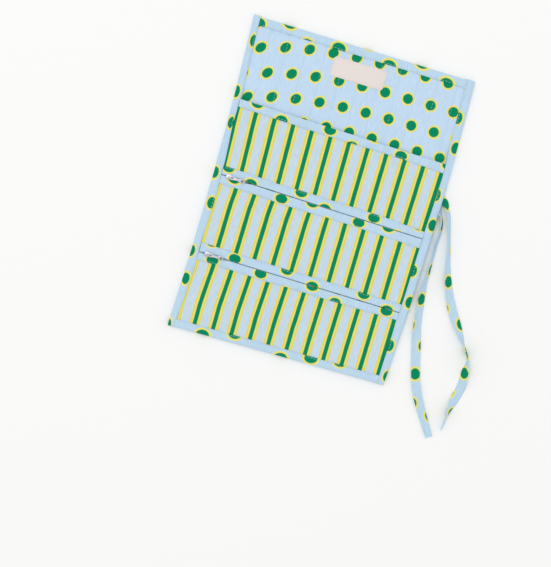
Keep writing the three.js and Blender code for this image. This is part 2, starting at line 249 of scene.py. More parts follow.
# %% [markdown]
# All the cloths are plain-weave cotton: threads cross over and under each other about every half
# millimetre, some threads are thicker than others, and the print sits on top, a little uneven. The weave
# is bump, from two sine waves multiplied. The print is worked out from two UV maps: stripes from how
# far a point is from the nearest stripe's middle, dots from how far it is from the nearest dot's middle.

# %% Cotton and its printed patterns
GREEN = ink(2, 139, 98)
YELLOW = ink(238, 230, 114)
GOLD = ink(236, 218, 102)
STRIPE_PITCH = 17.25
GREEN_HALF = 1.9
GOLD_HALF = GREEN_HALF + 1.25
YELLOW_HALF = GREEN_HALF + 2.95
DOT_RADIUS = 4.5
HALO_RADIUS = 6.1
THREAD = 0.46
COTTON = dict(depth=0.00009, Roughness=0.95, Specular_IOR_Level=0.1)


def cotton(ground, place, x, y):
    """The ground colour with thicker threads showing along and across, and the relief of the weave."""
    along = place.streaks(1.7, 0.06)
    across = place.streaks(0.07, 1.3)
    soft = place.streaks(0.03, 0.02)
    colour = (along * 0.6 + soft * 0.4).mix(shade(ground, 0.9), shade(ground, 1.09))
    weave = x.sine(THREAD) * y.sine(THREAD) * 0.5 + 0.5
    return colour, weave * 0.7 + along * 0.35 + across * 0.35


def printed(colour, place):
    """The thread shows through the print: some threads take less ink."""
    threads = place.streaks(2.2, 0.12).below(0.5, 0.12)
    return (threads * 0.55).mix(colour, colour.vector_maths("SCALE", Scale=0.84))


def striped_cotton(name, ground, middle):
    """Stripes along the pouch; middle is where one green stripe runs, from the pouch's middle line."""
    shader = Shader(f"striped_cotton_{name}")
    place = shader.uv("flat")
    x, y = place.xy()
    colour, height = cotton(ground, place, x, y)
    wander = place.streaks(0.5, 0.09) - 0.5
    rough_edge = place.noise(1.6) - 0.5
    distance = (x - middle + wander * 0.5).to_nearest(STRIPE_PITCH)
    gold = (distance + rough_edge * 0.4).below(GOLD_HALF, 0.3)
    colour = (distance + rough_edge * 0.7).below(YELLOW_HALF, 0.22).mix(colour, gold.mix(GOLD, YELLOW))
    colour = (distance + rough_edge * 0.25).below(GREEN_HALF, 0.15).mix(colour, GREEN)
    return shader.finish(printed(colour, place), height, **COTTON)


def dotted_cotton(name, ground):
    shader = Shader(f"dotted_cotton_{name}")
    place = shader.uv("flat")
    colour, height = cotton(ground, place, *place.xy())
    rough_edge = place.noise(0.9) - 0.5
    radius = shader.uv("print").vector_maths("LENGTH", output=1) + rough_edge * 0.7
    colour = radius.below(HALO_RADIUS, 0.25).mix(colour, YELLOW)
    colour = radius.below(DOT_RADIUS, 0.18).mix(colour, GREEN)
    return shader.finish(printed(colour, place), height, **COTTON)


striped_1 = striped_cotton("pocket_1", ink(201, 221, 235), 9.5)
striped_2 = striped_cotton("pocket_2", ink(201, 221, 235), 8.9)
striped_3 = striped_cotton("pocket_3", ink(201, 221, 235), 6.0)
striped_outside = striped_cotton("outside", ink(200, 223, 240), 9.5)
dotted_lining = dotted_cotton("lining", ink(199, 223, 245))
dotted_trim = dotted_cotton("trim", ink(193, 220, 240))
dotted_tie = dotted_cotton("tie", ink(193, 221, 240))
print("cotton finishes:", len(bpy.data.materials))

# %% Wadding, label and zip tape
# The label is woven in fine rows, satin-like along them. Zip tape has a herringbone weave: its ribs are
# bumped, and painted darker on their low side as painted shade.
shader = Shader("white_wadding")
fluff = shader.uv("flat").noise(1.2, 4)
colour = fluff.mix(ink(226, 226, 222), ink(246, 246, 242))
wadding_white = shader.finish(colour, fluff, 0.0004, Roughness=1.0, Specular_IOR_Level=0.1)

shader = Shader("woven_label_cloth")
place = shader.uv("flat")
x, y = place.xy()
colour = place.streaks(0.3, 2.5).mix(ink(225, 214, 209), ink(238, 229, 224))
relief = y.ridges(0.22) * 0.6 + x.ridges(0.35) * 0.4
label_weave = shader.finish(colour, relief, 0.00006, Roughness=0.7, Specular_IOR_Level=0.3)

shader = Shader("zip_tape_weave")
x, y = shader.uv("flat").xy()
slant_ribs_and_shade = (x + y.to_nearest(2.4) * 1.5).to_nearest(0.7) * (1 / 0.35)
# Each rib's low side is painted darker, as painted shade, from the same slant as its bump.
colour = slant_ribs_and_shade.mix(ink(146, 162, 176), ink(176, 192, 204))
zip_tape = shader.finish(colour, slant_ribs_and_shade, 0.0001, Roughness=0.85)
print("finishes:", len(bpy.data.materials))

# %% Coil, metal, thread and table
# The metal is plated, with light wear marks, and rougher in patches. Sewing thread is two strands twisted,
# seen as fine slanting lines: the grooves between the strands are bumped and also painted darker, as painted
# shade.
shader = Shader("nylon_coil")
uneven = shader.on_object().noise(900)
colour = uneven.mix(ink(172, 184, 194), ink(198, 208, 216))
zip_coil = shader.finish(colour, uneven, 0.00002, Roughness=0.45)

shader = Shader("bright_zip_metal")
place = shader.on_object()
patches = place.noise(420, 3)
relief = place.streaks(9000, 700) * 0.5 + patches * 0.5
colour = patches.mix(ink(172, 170, 178), ink(208, 206, 212))
zip_metal = shader.finish(colour, relief, 0.00002, Metallic=0.85, Roughness=patches * 0.18 + 0.22)


def thread_finish(name, colour):
    shader = Shader(name)
    x, y = shader.on_object().xy()
    twist_and_groove_shade = (x + y).ridges(0.0002)
    # The twist's low grooves are painted darker, as painted shade, on top of their bump.
    return shader.finish(twist_and_groove_shade.mix(shade(colour, 0.8), colour), twist_and_groove_shade, 0.00003, Roughness=0.6)


blue_thread = thread_finish("pale_blue_thread", ink(176, 204, 224))
label_thread = thread_finish("pale_pink_thread", ink(226, 208, 206))
pale_table = Shader("pale_table").finish(ink(248, 248, 247), Roughness=1.0, Specular_IOR_Level=0.0)
table.data.materials.append(pale_table)
print("finishes:", len(bpy.data.materials))

# %% [markdown]
# Cloth is thin, but it isn't a plane: its cut edge shows, and light stops at it. So each sheet is made as a
# closed shell from two grids of points, its upper and its lower face. A first UV map, "flat", holds where
# each point lay on the cutting table, in millimetres, so a pattern bends with the cloth. A second one,
# "print", measures each face from the centre of the nearest printed dot, which lets one shader print dots
# wherever a strip happened to be cut.

# %% Cloth shells
CLOTH_SHARP = 40
NO_DOT = 99


def shell_faces(rows, cols):
    """Quads of a closed shell: upper grid, lower grid and the four edges between them."""
    index = np.arange(rows * cols).reshape(rows, cols)
    quads = np.stack([index[:-1, :-1], index[:-1, 1:], index[1:, 1:], index[1:, :-1]], -1).reshape(-1, 4)
    lower = quads[:, ::-1] + rows * cols
    rim = np.concatenate([index[0, :-1], index[:-1, -1], index[-1, :0:-1], index[:0:-1, 0]])
    following = np.roll(rim, -1)
    sides = np.stack([rim, rim + rows * cols, following + rows * cols, following], -1)
    return np.concatenate([quads, lower, sides]).tolist()


def close(mesh, sharp):
    """Turns all faces outwards and smooths them, but keeps edges above the angle sharp."""
    solid = bmesh.new()
    solid.from_mesh(mesh)
    bmesh.ops.recalc_face_normals(solid, faces=solid.faces)
    solid.to_mesh(mesh)
    solid.free()
    mesh.shade_smooth()
    mesh.set_sharp_from_angle(angle=math.radians(sharp))


def put_uv(mesh, name, per_loop):
    layer = mesh.uv_layers.new(name=name)
    layer.data.foreach_set("uv", np.ascontiguousarray(per_loop, np.float32).ravel())


def map_cloth(mesh, flat, dots=(), stretch=(1, 1), slope=None):
    """Writes the flat map, and the print map: each face is measured from its nearest printed dot."""
    corners = np.empty(len(mesh.loops), int)
    mesh.loops.foreach_get("vertex_index", corners)
    starts = np.empty(len(mesh.polygons), int)
    mesh.polygons.foreach_get("loop_start", starts)
    counts = np.diff(np.append(starts, len(corners)))
    places = flat[corners]
    put_uv(mesh, "flat", places)
    if not len(dots):
        put_uv(mesh, "print", np.full_like(places, NO_DOT))
        return
    centres = np.add.reduceat(places, starts) / counts[:, None]
    dots = np.asarray(dots, float)
    nearest = dots[np.repeat(np.argmin(((centres[:, None] - dots) ** 2).sum(-1), 1), counts)]
    offset = places - nearest
    if slope is not None:
        offset[:, 1] -= slope(nearest[:, 0]) * offset[:, 0]
    put_uv(mesh, "print", offset / np.array(stretch))


def sewn_piece(name, points, faces, sharp, flat, **printing):
    mesh = bpy.data.meshes.new(name)
    mesh.from_pydata((points.reshape(-1, 3) * MM).tolist(), [], faces)
    close(mesh, sharp)
    map_cloth(mesh, flat.reshape(-1, 2), **printing)
    return link(mesh, name)


def cloth(name, upper, lower, flat=None, **printing):
    """A closed shell of cloth from its upper and lower grids, in millimetres."""
    flat = upper[..., :2] if flat is None else flat
    return sewn_piece(name, np.stack([upper, lower]), shell_faces(*upper.shape[:2]), CLOTH_SHARP,
                      np.stack([flat, flat]), **printing)


def dress(piece, material, slot, *nodes, body=None):
    """Gives a piece its material, the nodes that it stands for and the body it moves with. Its slot is not
    used.
    """
    if material is not None:
        piece.data.materials.append(material)
    if nodes:
        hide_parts(*nodes)
    if body:
        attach(piece, body)
    return piece


# %% [markdown]
# The tie is one long flat band, folded at its middle and sewn behind panel 1, so two tails come out under
# the right edge. A flat band doesn't bend sideways: it leans, cups and turns over instead. Each tail is a
# ribbon swept along the same route as its solid in the frame, with its turn, its cupping and its width
# given at a few places along it. The outer tail turns over once, where the picture shows it edge-on.

# %% Routes of the tie's tails, and how they lie
TAIL_SPACING = 2.0
CURVE_STEPS = 24
tails = {
    "inner": dict(
        route=[(0.3, 27, 0.55), (30, 28, 0.55), (60, 29, 0.55), (84, 29.2, 0.55), (99, 26.4, 0.55),
            (107.4, 18.4, 0.56), (110.4, 7, 0.7), (111, -9, 1.4), (111.8, -31, 0.9), (111.4, -44.4, 0.7),
            (111.9, -57.8, 1.1), (113.5, -72.7, 1.9), (116.1, -88.3, 1.6), (120.1, -103.5, 0.8),
            (126.6, -125.4, 1.2), (132.1, -141.1, 2), (139.2, -154.1, 1.3), (148.2, -168.1, 0.7),
            (155.9, -180.2, 0.6)],
        aside=[(0, 0), (104, 0), (114, -1), (140, 0.6), (168, 0.7), (198, -0.6), (232, -1.3), (258, -0.8),
            (282, -1), (302, -0.7), (325, -0.9)],
        turn=[(0, 0), (102, 0), (111, 76), (140, 60), (150, 68), (158, 67), (168, 58), (184, 40), (202, 36),
            (214, 26), (232, 0), (325, 0)],
        cup=[(0, 0.2), (110, 0.3), (140, 0.8), (230, 0.7), (285, 0.6), (300, 1.4), (325, 1.8)],
        width=[(0, 0.95), (110, 0.95), (160, 1), (190, 1.08), (285, 1), (325, 0.9)],
        dots=[(-3.2, 118), (-4.6, 160), (0, 188), (7.8, 212), (-6.7, 232), (0.3, 258), (6.7, 284),
            (-6.8, 300)],
    ),
    "outer": dict(
        route=[(0.3, 38.5, 0.55), (30, 40, 0.55), (60, 41.6, 0.55), (82, 42.2, 0.55), (96, 39.8, 0.55),
            (105.4, 33.8, 0.56), (112, 26.2, 0.7), (116.3, 17.5, 1.2), (119.4, 8, 1.5), (122.9, -5.5, 1.2),
            (126.1, -20.7, 0.7), (130.5, -35.5, 0.8), (136, -50, 1.4), (143.5, -62.6, 1.6),
            (152.1, -73.6, 1.2), (160.2, -85.4, 1.8), (167, -96.4, 4.4), (170.8, -106, 4.2), (172, -115, 2.2),
            (172.2, -126, 1), (170.6, -139, 1.6), (168.4, -152.6, 1.8), (166.6, -161.6, 0.9),
            (165.1, -169.8, 0.6)],
        aside=[(0, 0), (112, 0.2), (142, 0.9), (165, 0), (200, -1.2), (238, 0.9), (256, -0.6), (271, 1.6),
            (288, 0.8), (309, 1.6), (330, 0)],
        turn=[(0, 0), (108, 0), (117, 64), (146, 68), (160, 55), (175, 46), (189, 31), (213, 2), (235, 46),
            (245, 78), (253, 87), (261, 98), (270, 130), (279, 150), (291, 178), (299, 192), (307, 226),
            (315, 250), (330, 262)],
        cup=[(0, 0.2), (110, 0.4), (140, 0.8), (215, 0.5), (238, 0.9), (248, 0.35), (262, 0.35), (285, 0.5),
            (330, 0.8)],
        width=[(0, 0.95), (110, 0.95), (160, 1), (300, 1.06), (314, 0.95), (330, 0.5)],
        dots=[(0, 112), (-8.6, 154), (0, 183), (7.8, 207), (-4.6, 225), (0, 252), (0, 271), (-8.4, 294),
            (3.2, 311)],
    ),
}


def smooth_path(route):
    """A centripetal Catmull-Rom curve through the route's points, resampled evenly."""
    points = np.array(route, float)
    points = np.vstack([2 * points[0] - points[1], points, 2 * points[-1] - points[-2]])
    fine = []
    for near in zip(points, points[1:], points[2:], points[3:]):
        knots = np.append(0, np.cumsum([math.sqrt(np.linalg.norm(q - p)) for p, q in zip(near, near[1:])]))
        t = np.linspace(knots[1], knots[2], CURVE_STEPS, endpoint=False)[:, None]
        for starts, ends in ((knots[:3], knots[1:]), (knots[:2], knots[2:]), (knots[1:2], knots[2:3])):
            near = [p + (q - p) * (t - start) / (end - start)
                    for p, q, start, end in zip(near, near[1:], starts, ends)]
        fine.append(near[0])
    fine = np.vstack(fine + [points[-2:-1]])
    along = np.append(0, np.cumsum(np.linalg.norm(np.diff(fine, axis=0), axis=1)))
    places = np.linspace(0, along[-1], round(along[-1] / TAIL_SPACING) + 1)
    return np.stack([np.interp(places, along, fine[:, axis]) for axis in range(3)], -1), places


def step(value, low, high):
    """0 below low, 1 above high, smooth between."""
    share = np.clip((value - low) / (high - low), 0, 1)
    return share * share * (3 - 2 * share)


def profile(places, marks):
    """A value given at a few places along a piece, joined by smooth steps."""
    at, values = np.array(marks, float).T
    k = np.clip(np.searchsorted(at, places, side="right") - 1, 0, len(at) - 2)
    return values[k] + (values[k + 1] - values[k]) * step(places, at[k], at[k + 1])


print("marks of how a tail lies:", {which: sum(map(len, lying.values())) for which, lying in tails.items()})

# %% Sweep the two tails
TIE_WIDTH = 8.0
TIE_THICKNESS = 0.9
TIE_PRINT_STRETCH = (1.0, 1.17)
TIE_WAVE = 0.14
TIE_WAVE_LENGTH = 4.1
TIE_LEVEL = 0.5
GROUND_GAP = 0.03
EVEN_REACH = 5
UP = np.array([0, 0, 1])
RIBBON_ACROSS = np.array([-1, -0.985, -0.94, -0.8, -0.55, -0.25, 0, 0.25, 0.55, 0.8, 0.94, 0.985, 1])
RIBBON_ROUND = np.array([0.1, 0.5, 0.85, 1, 1, 1, 1, 1, 1, 1, 0.85, 0.5, 0.1])


def unit(vectors):
    return vectors / np.linalg.norm(vectors, axis=1)[:, None]


def ribbon(name, route, aside, turn, cup, width, dots):
    """Sweeps a ribbon along a route. aside moves it to its right, turn raises its right edge, and dots
    are placed as (across, along). Its middle line is returned too, smoothed in height."""
    path, along = smooth_path(route)
    aside, turn, cup, width = (profile(along, marks)[:, None] for marks in (aside, turn, cup, width))
    path = path + unit(np.cross(np.gradient(path, axis=0), UP)) * aside
    half = width * TIE_WIDTH / 2
    cos, sin = np.cos(np.radians(turn)), np.sin(np.radians(turn))
    path[:, 2:] = np.maximum(path[:, 2:], TIE_LEVEL + half * np.abs(sin))
    tangent = unit(np.gradient(path, axis=0))
    side = unit(np.cross(tangent, UP))
    up = np.cross(side, tangent)
    across = side * cos + up * sin
    out = up * cos - side * sin
    half = half * RIBBON_ACROSS
    bend = cup / TIE_WIDTH
    sideways = np.sin(half * bend) / bend
    wave = TIE_WAVE * np.sin(along / TIE_WAVE_LENGTH)[:, None] * RIBBON_ACROSS
    rise = (1 - np.cos(half * bend)) / bend + wave
    middle = path[:, None] + across[:, None] * sideways[..., None] + out[:, None] * rise[..., None]
    thick = out[:, None] * (RIBBON_ROUND * TIE_THICKNESS / 2)[None, :, None]
    lowest = np.minimum((middle + thick)[..., 2], (middle - thick)[..., 2])
    middle += np.maximum(0, GROUND_GAP - lowest)[..., None] * UP
    flat = np.stack([half, np.broadcast_to(along[:, None], half.shape)], -1)
    piece = cloth(name, middle + thick, middle - thick, flat, dots=dots, stretch=TIE_PRINT_STRETCH)
    around = 2 * EVEN_REACH + 1
    heights = np.convolve(np.pad(path[:, 2], EVEN_REACH, mode="edge"), np.ones(around) / around, mode="valid")
    return piece, np.column_stack([path[:, :2], heights])


for which, lying in tails.items():
    tail, path = ribbon(f"tie_tail_{which}_cloth", **lying)
    dress(tail, dotted_tie, "tie_cloth", f"tie_tail_{which}", body="panel_1")

# %% [markdown]
# The real cloth crosses three folds in one piece. Here the frame has a joint at each fold line, so the cloth
# is cut where it always lies flat, half way between two fold lines, and each part holds its own fold line,
# with its rows closer together about it. Every layer is cut at the same places. All layers lie level near a
# cut, which keeps the cut from showing.

# %% Stretches of cloth, each with one fold line
CUTS = [64.0, 21.0, -20.5, -56.0]
CALM_REACH = 6.0
BEND_ROWS = 11
BEND_CLEAR = 0.3
BODIES = ["flap", "fold_a", "panel_1", "fold_b", "panel_2", "panel_3"]
# Each fold's joint, and how far the bend reaches above and below its line.
BENDS = [("fold_a_upper", 5, 5), ("fold_a_lower", 1.8, 6.4), ("fold_b_upper", 2.6, 5.4),
         ("fold_b_lower", 5.4, 5.4), ("fold_c", 5.7, 5.8)]


class Stretch:
    """A stretch of the pouch from high to low, with a body above and a body below its fold line."""

    def __init__(self, number):
        fold, before, past = BENDS[number]
        line = joints[fold]["pos_m"][1] / MM
        self.name = str(number + 1)
        self.high, self.low = [top_edge, *CUTS, bottom_edge][number:number + 2]
        self.above, self.below = BODIES[number:number + 2]
        self.bend_start, self.bend_end = line + before, line - past
        self.bodies = [self.above, self.below] if self.below == BODIES[-1] else [self.above]

    def nodes(self, kind):
        """The frame's nodes of one kind that this stretch stands for."""
        return [f"{body}_{kind}" for body in self.bodies]

    def bend(self, piece):
        self.bend_start * MM
        self.bend_end * MM
        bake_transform(piece)

    def rows(self, spacing, inset=0):
        """Rows of a sheet, close together where it bends."""
        high, low = min(top_edge - inset, self.high), max(bottom_edge + inset, self.low)
        ys = np.linspace(high, low, max(2, round((high - low) / spacing)) + 1)
        flat = (ys > self.bend_start + BEND_CLEAR) | (ys < self.bend_end - BEND_CLEAR)
        return np.sort(np.append(ys[flat], np.linspace(self.bend_start, self.bend_end, BEND_ROWS)))[::-1]


stretches = [Stretch(number) for number in range(len(BENDS))]
for stretch in stretches:
    print("stretch", stretch.name, round(stretch.high, 1), "to", round(stretch.low, 1), "bends",
          stretch.above, "to", stretch.below)

# %% Shape of the cloth: its bow, its quilting and its small waves
QUILT_LINE = 10.1 + STRIPE_PITCH / 2
QUILT_HALF = 1.5
EDGE_INSET = 1.6
SHEET_COLS = 83
CLOTH_REACH = half_width - EDGE_INSET
FLAP_LEAN = 1.15e-4
FLAP_START = 2
TIE_LEFT = (-20, -12)
TIE_BOTTOM = (6, 13)
TIE_TOP = (43, 50)
# How high each wave is, its length along x and y over two pi, and where it starts.
WAVES = [(0.35, 9.7, 31, 1.3), (0.25, 5.3, -17, 0.4), (0.22, 14.1, 7.9, 0), (0.18, 3.7, 23, 2.1)]


def calm(y):
    """The y that the small waves are worked out from: it stands still at each cut."""
    for line in CUTS:
        away = y - line
        y = line + away * step(np.abs(away), 0, CALM_REACH)
    return y


def bow(y):
    """The whole pouch lies a little curved: its middle is 3 mm further right than its ends."""
    return 3.1 + 0.003 * y - 1.52e-4 * y * y


def lie(x, y, z):
    """Where a point of the squarely cut pouch lies: it is bowed, and its flap leans a little."""
    return np.stack([x + bow(y), y - FLAP_LEAN * x * np.maximum(0, y - FLAP_START), z + 0 * x + 0 * y], -1)


def waves(x, y):
    """Small uneven waves of sewn cloth, between about -1 and 1."""
    y = calm(y)
    return sum(high * np.sin(x / long_x + y / long_y + start) for high, long_x, long_y, start in WAVES)


def quilting(x):
    """1 on a quilting line, falling to 0 beside it."""
    away = np.abs((x - QUILT_LINE + STRIPE_PITCH / 2) % STRIPE_PITCH - STRIPE_PITCH / 2)
    return np.exp(-((away / QUILT_HALF) ** 2))


def inside_edges(x, reach=7.0):
    """1 over the middle, 0 under the side bindings' lips."""
    return step(half_width - binding_width + 1 - np.abs(x), 0, reach)


def over_tie(x, y):
    """How far the tie and its sewn middle lift the cloth that lies over them."""
    return step(x, *TIE_LEFT) * (step(y, *TIE_BOTTOM) * (1 - step(y, *TIE_TOP)))


quilt_lines = np.arange(QUILT_LINE - 6 * STRIPE_PITCH, CLOTH_REACH, STRIPE_PITCH)
across_pouch = np.unique(np.append(np.linspace(-CLOTH_REACH, CLOTH_REACH, SHEET_COLS), quilt_lines).round(3))
print("quilting lines every", STRIPE_PITCH, "mm;", len(across_pouch), "points across")

# %% [markdown]
# The quilt is three layers sewn through along the stripes: the outer cloth underneath, a thin wadding and
# the dotted lining on top. Between the sewn lines the cloth puffs out, and at each line it is pulled in.
# The dots of the lining are printed in staggered rows, and the rows sag
# towards the left, where the cloth was stretched as it was sewn, which also leans the dots over.

# %% Dots of the lining
# Four rows were read from the picture. The first one and the ones behind the pockets follow evenly.
ROW_HEIGHTS = [157.2, 135.2, 112.0, 90.2, 69.7, *(69.7 - 21 * row for row in range(1, 10))]
ROW_STARTS = (-98.1, -88.6)
DOT_PITCH = 21.1
SAG_START = 59.0


def row_sag(x):
    return -5.05e-6 * np.maximum(0, SAG_START - x) ** 3


def row_slope(x):
    return 15.1e-6 * np.maximum(0, SAG_START - x) ** 2


lining_dots = [(x, height + row_sag(x) - 0.3 - 0.006 * x) for row, height in enumerate(ROW_HEIGHTS)
               for x in np.arange(ROW_STARTS[row % 2], 105, DOT_PITCH)]
print("dots of the lining:", len(lining_dots))

# %% Outer cloth, wadding and lining
OUTER_THICK = 0.5
LINING_THICK = 0.4
LAYER_GAP = 0.06
OVER_TIE = 1.27
OVER_TIE_AT_EDGE = 1.62
TIE_EDGE = 92
PUFF_RISE = (62, 74)
PRESSED = 0.25
SHEET_SPACING = 2.5


def outer_lower(x, y):
    puffed = 0.3 + 0.6 * quilting(x) + 0.08 * waves(x, y)
    lifted = np.where(x > TIE_EDGE, OVER_TIE_AT_EDGE, OVER_TIE)
    share = over_tie(x, y)
    return puffed * (1 - share) + np.maximum(puffed, lifted) * share


def lining_upper(x, y):
    """The lining puffs up on the flap and is pressed flatter behind the pockets."""
    puff = 0.17 - 0.42 * quilting(x) + 0.1 * waves(x, y)
    return lining_top - 0.02 + puff * inside_edges(x) * (PRESSED + (1 - PRESSED) * step(y, *PUFF_RISE))


for stretch in stretches:
    ys = stretch.rows(SHEET_SPACING, EDGE_INSET)
    x, y = np.meshgrid(across_pouch, ys)
    outer_low, lining_high = outer_lower(x, y), lining_upper(x, y)
    outer_high, lining_low = outer_low + OUTER_THICK, lining_high - LINING_THICK
    for kind, low, high, material, slot, printing in [
        ("outer_cloth", outer_low, outer_high, striped_outside, "striped_cloth", {}),
        ("wadding", outer_high + LAYER_GAP, lining_low - LAYER_GAP, wadding_white, "wadding", {}),
        ("lining", lining_low, lining_high, dotted_lining, "dotted_cloth",
         dict(dots=lining_dots, slope=row_slope)),
    ]:
        piece = cloth(f"{kind}_{stretch.name}", lie(x, y, high), lie(x, y, low), **printing)
        dress(piece, material, slot, *stretch.nodes(kind))
        stretch.bend(piece)
        kind == "wadding"
    print(f"quilt stretch {stretch.name}: {ys[0] - ys[-1]:.1f} mm long")

# %% [markdown]
# Each pocket's front is one striped cloth, sewn under the band above it and caught in the side bindings.
# It lies on the lining with room for what goes in, and draws up into short puckers along its seams.
# The seams slant a little from left to right, as they were sewn, so a front's edges are slanted too.

# %% Slanted seams, worked out from the frame
BAND_TUCK = 2.0
MOUTH_WIDTH = 7.3


class Seam:
    """A seam that drops from left to right."""

    def __init__(self, x, y, slope):
        self.x, self.y, self.slope = x, y, slope

    def at(self, x):
        return self.y + self.slope * (x - self.x)

    def moved(self, by):
        return Seam(self.x, self.y + by, self.slope)


def level(y):
    return Seam(0, y, 0)


zips = {}
zip_sides = []  # each one a zip's number, its side, that side's direction and the width of its band
for number in (1, 2):
    axis = joints[f"zip_{number}_slide"]["axis"]
    place = joints[f"zip_{number}_pull_hinge"]["pos_m"]
    seam = zips[number] = Seam(place[0] / MM, place[1] / MM, axis[1] / axis[0])
    upper, lower = box_mm(f"zip_{number}_upper_band"), box_mm(f"zip_{number}_lower_band")
    zip_sides.append((number, "upper", 1, upper[1][1] - seam.at(upper[0][0])))
    zip_sides.append((number, "lower", -1, seam.at(lower[1][0]) - lower[0][1]))

mouth_low, mouth_high = box_mm("pocket_1_mouth_binding")
mouth_drop = (mouth_high[1] - mouth_low[1] - MOUTH_WIDTH) / (mouth_high[0] - mouth_low[0])
mouth = Seam(0, (mouth_high[1] + mouth_low[1] - MOUTH_WIDTH) / 2, -mouth_drop)
tucked = {(number, side): zips[number].moved(direction * (width - BAND_TUCK))
          for number, side, direction, width in zip_sides}
print("zip lines at", [round(seam.at(0), 2) for seam in zips.values()])
print("band widths", [round(width, 2) for *_, width in zip_sides])

# %% Pocket fronts
FRONT_THICK = 0.5
FRONT_SPACING = 2.2
FRONT_COLS = 130
PUCKER_REACH = 4.5


def puckers(x, y, seams):
    """Short gathers that fade away from each seam."""
    depth = sum(np.exp(-np.abs(seam.at(x) - y) / PUCKER_REACH) for seam in seams)
    return depth * np.sin(x / 1.35 + 1.7 * np.sin(x / 13))


def crease(x, y):
    """A soft crease across pocket 3, from the hem of the cloth behind its front."""
    line = -106.5 + 5.5 * step(x, 20, 90)
    return step(x, -25, 5) * np.exp(-(((y - line) / 1.3) ** 2))


def ramp(value, length):
    return np.clip(value / length, 0, 1)


def drift_1(x, y):
    """How far pocket 1's stripes lie from evenly printed ones: they draw together towards its zip."""
    return ramp(60 - y, 48) * (0.014 * x - 0.42) - 0.0105 * x - 0.5 - 0.6 * step(-x, 78, 92)


def drift_2(x, y):
    """Pocket 2's left stripes lean a little outwards, and back in under the zip."""
    return step(-x, -30, 40) * (0.7 * ramp(-20 - y, 40) - ramp(y + 21, 12)) - 0.007 * x - 0.75


def drift_3(x, y):
    """Pocket 3's stripes lean in under its zip, the left ones most."""
    return (0.014 * x - 1.2) * ramp(y + 115, 35) - 0.008 * x - 1.35 + 0.8 * step(-x, 84, 93)


def front(name, upper_seam, lower_seam, puckered, material, drift, nodes):
    """A front between two seams. puckered holds the seams that gather it."""
    length = abs(upper_seam.at(0) - lower_seam.at(0))
    shares = np.linspace(0, 1, max(3, round(length / FRONT_SPACING)))
    x, share = np.meshgrid(np.linspace(-CLOTH_REACH, CLOTH_REACH, FRONT_COLS), shares)
    y = upper_seam.at(x) * (1 - share) + lower_seam.at(x) * share
    loose = 0.06 + 0.1 * waves(x, y) + 0.07 * puckers(x, y, puckered) + 0.3 * crease(x, y)
    height = front_top + loose * inside_edges(x, 5)
    upper = lie(x, y, height)
    flat = upper[..., :2].copy()
    flat[..., 0] += drift(*np.moveaxis(flat, -1, 0))
    piece = cloth(name, upper, lie(x, y, height - FRONT_THICK), flat)
    length * MM
    return dress(piece, material, "striped_cloth", *nodes)


middle_cut = level(CUTS[2])
fronts = [
    ("pocket_1_front_cloth", mouth.moved(BAND_TUCK), tucked[1, "upper"], [mouth, tucked[1, "upper"]],
     striped_1, drift_1, ["pocket_1_front", "pocket_1_front_upper"]),
    ("pocket_2_front_cloth_high", tucked[1, "lower"], middle_cut, [tucked[1, "lower"]],
     striped_2, drift_2, ["pocket_2_front_top", "pocket_2_front_upper"]),
    ("pocket_2_front_cloth_low", middle_cut, tucked[2, "upper"], [tucked[2, "upper"]],
     striped_2, drift_2, ["pocket_2_front"]),
    ("pocket_3_front_cloth", tucked[2, "lower"], level(bottom_edge + EDGE_INSET),
     [tucked[2, "lower"], level(bottom_edge + binding_width)],
     striped_3, drift_3, ["pocket_3_front_top", "pocket_3_front"]),
]
for stretch, cut in zip(stretches[1:], fronts):
    stretch.bend(front(*cut))
    print(cut[0], "bends with stretch", stretch.name)

# %% [markdown]
# A zip is hidden under two bands, strips of dotted cloth folded double, whose folds meet over it. A band
# isn't a flat strip: its folded edge is round, it is a little plump, and it is stitched down near its
# outer edge. The slip pocket's mouth has such a band too. Where each band and each lip of a side binding
# is wider or narrower than it was cut, and where its dots lie, was read from the picture.

# %% Dots and widths of the strips
trim_dots = {
    "mouth": [(-78, 71.2), (-53.5, 62.7), (-34.2, 75.6), (-9.5, 66), (13.2, 57.8), (31.2, 70.7),
              (57.8, 61.4), (101, 64.5)],
    "1_upper": [(-87.5, 9.4), (-64.5, 0.8), (-18.8, 5.6), (5.3, -2.7), (24, 10.4), (50.2, 1.4),
                (73.5, -8), (91.6, 5.7)],
    "1_lower": [(-80, 0.9), (-34.5, -4.6), (-6.6, -0.5), (10.5, -14.1), (38.2, -6.3), (65.3, -3.2)],
    "2_upper": [(-84, -59.3), (-60.2, -68.2), (-12, -65.5), (14, -73.3), (61, -67.8), (85.2, -75.8)],
    "2_lower": [(-79.3, -75.2), (-34.2, -75), (-8, -85), (14, -73.3), (37.8, -82), (85, -76.9)],
    "top": [(-96.8, 137.6), (-69.5, 145.7), (-51, 132.2), (-22.5, 137), (3, 148.6), (24.5, 135.3),
            (52.8, 146), (78, 135)],
    "bottom": [(-69.5, -143.7), (-41.6, -134.6), (4.8, -145), (31.2, -137.4), (57.8, -133.4)],
    "left": [(-100, 150.3), (-97.7, 121.8), (-101.3, 75.5), (-97.9, 48), (-99.6, 2),
             (-94.3, -25.2), (-101.5, -71.8), (-98.9, -97.6), (-105.6, -142.2)],
    "right": [(97.7, 108.4), (103.4, 82), (99.4, 36.8), (103.2, 9.4), (97.6, -35.2), (103.4, -63.5),
              (97.4, -106.6), (104.4, -134.6)],
}
LIP_TRIM = {
    "left": [(-144, 1.7), (-128, 1.5), (-110, 1.0), (-88, 0.4), (-76, 0.6), (-60, 1.3), (-20, 0.3),
             (10, 0.9), (50, 2.6), (62, 2.3), (80, 1.6), (110, 2.1), (144, 1.8)],
    "right": [(-144, 1.4), (-120, 0.8), (-85, 0.1), (-50, 0.2), (0, 0), (40, 1.6), (62, 1.5), (90, 0.3),
              (110, 0.5), (144, 0.2)],
}
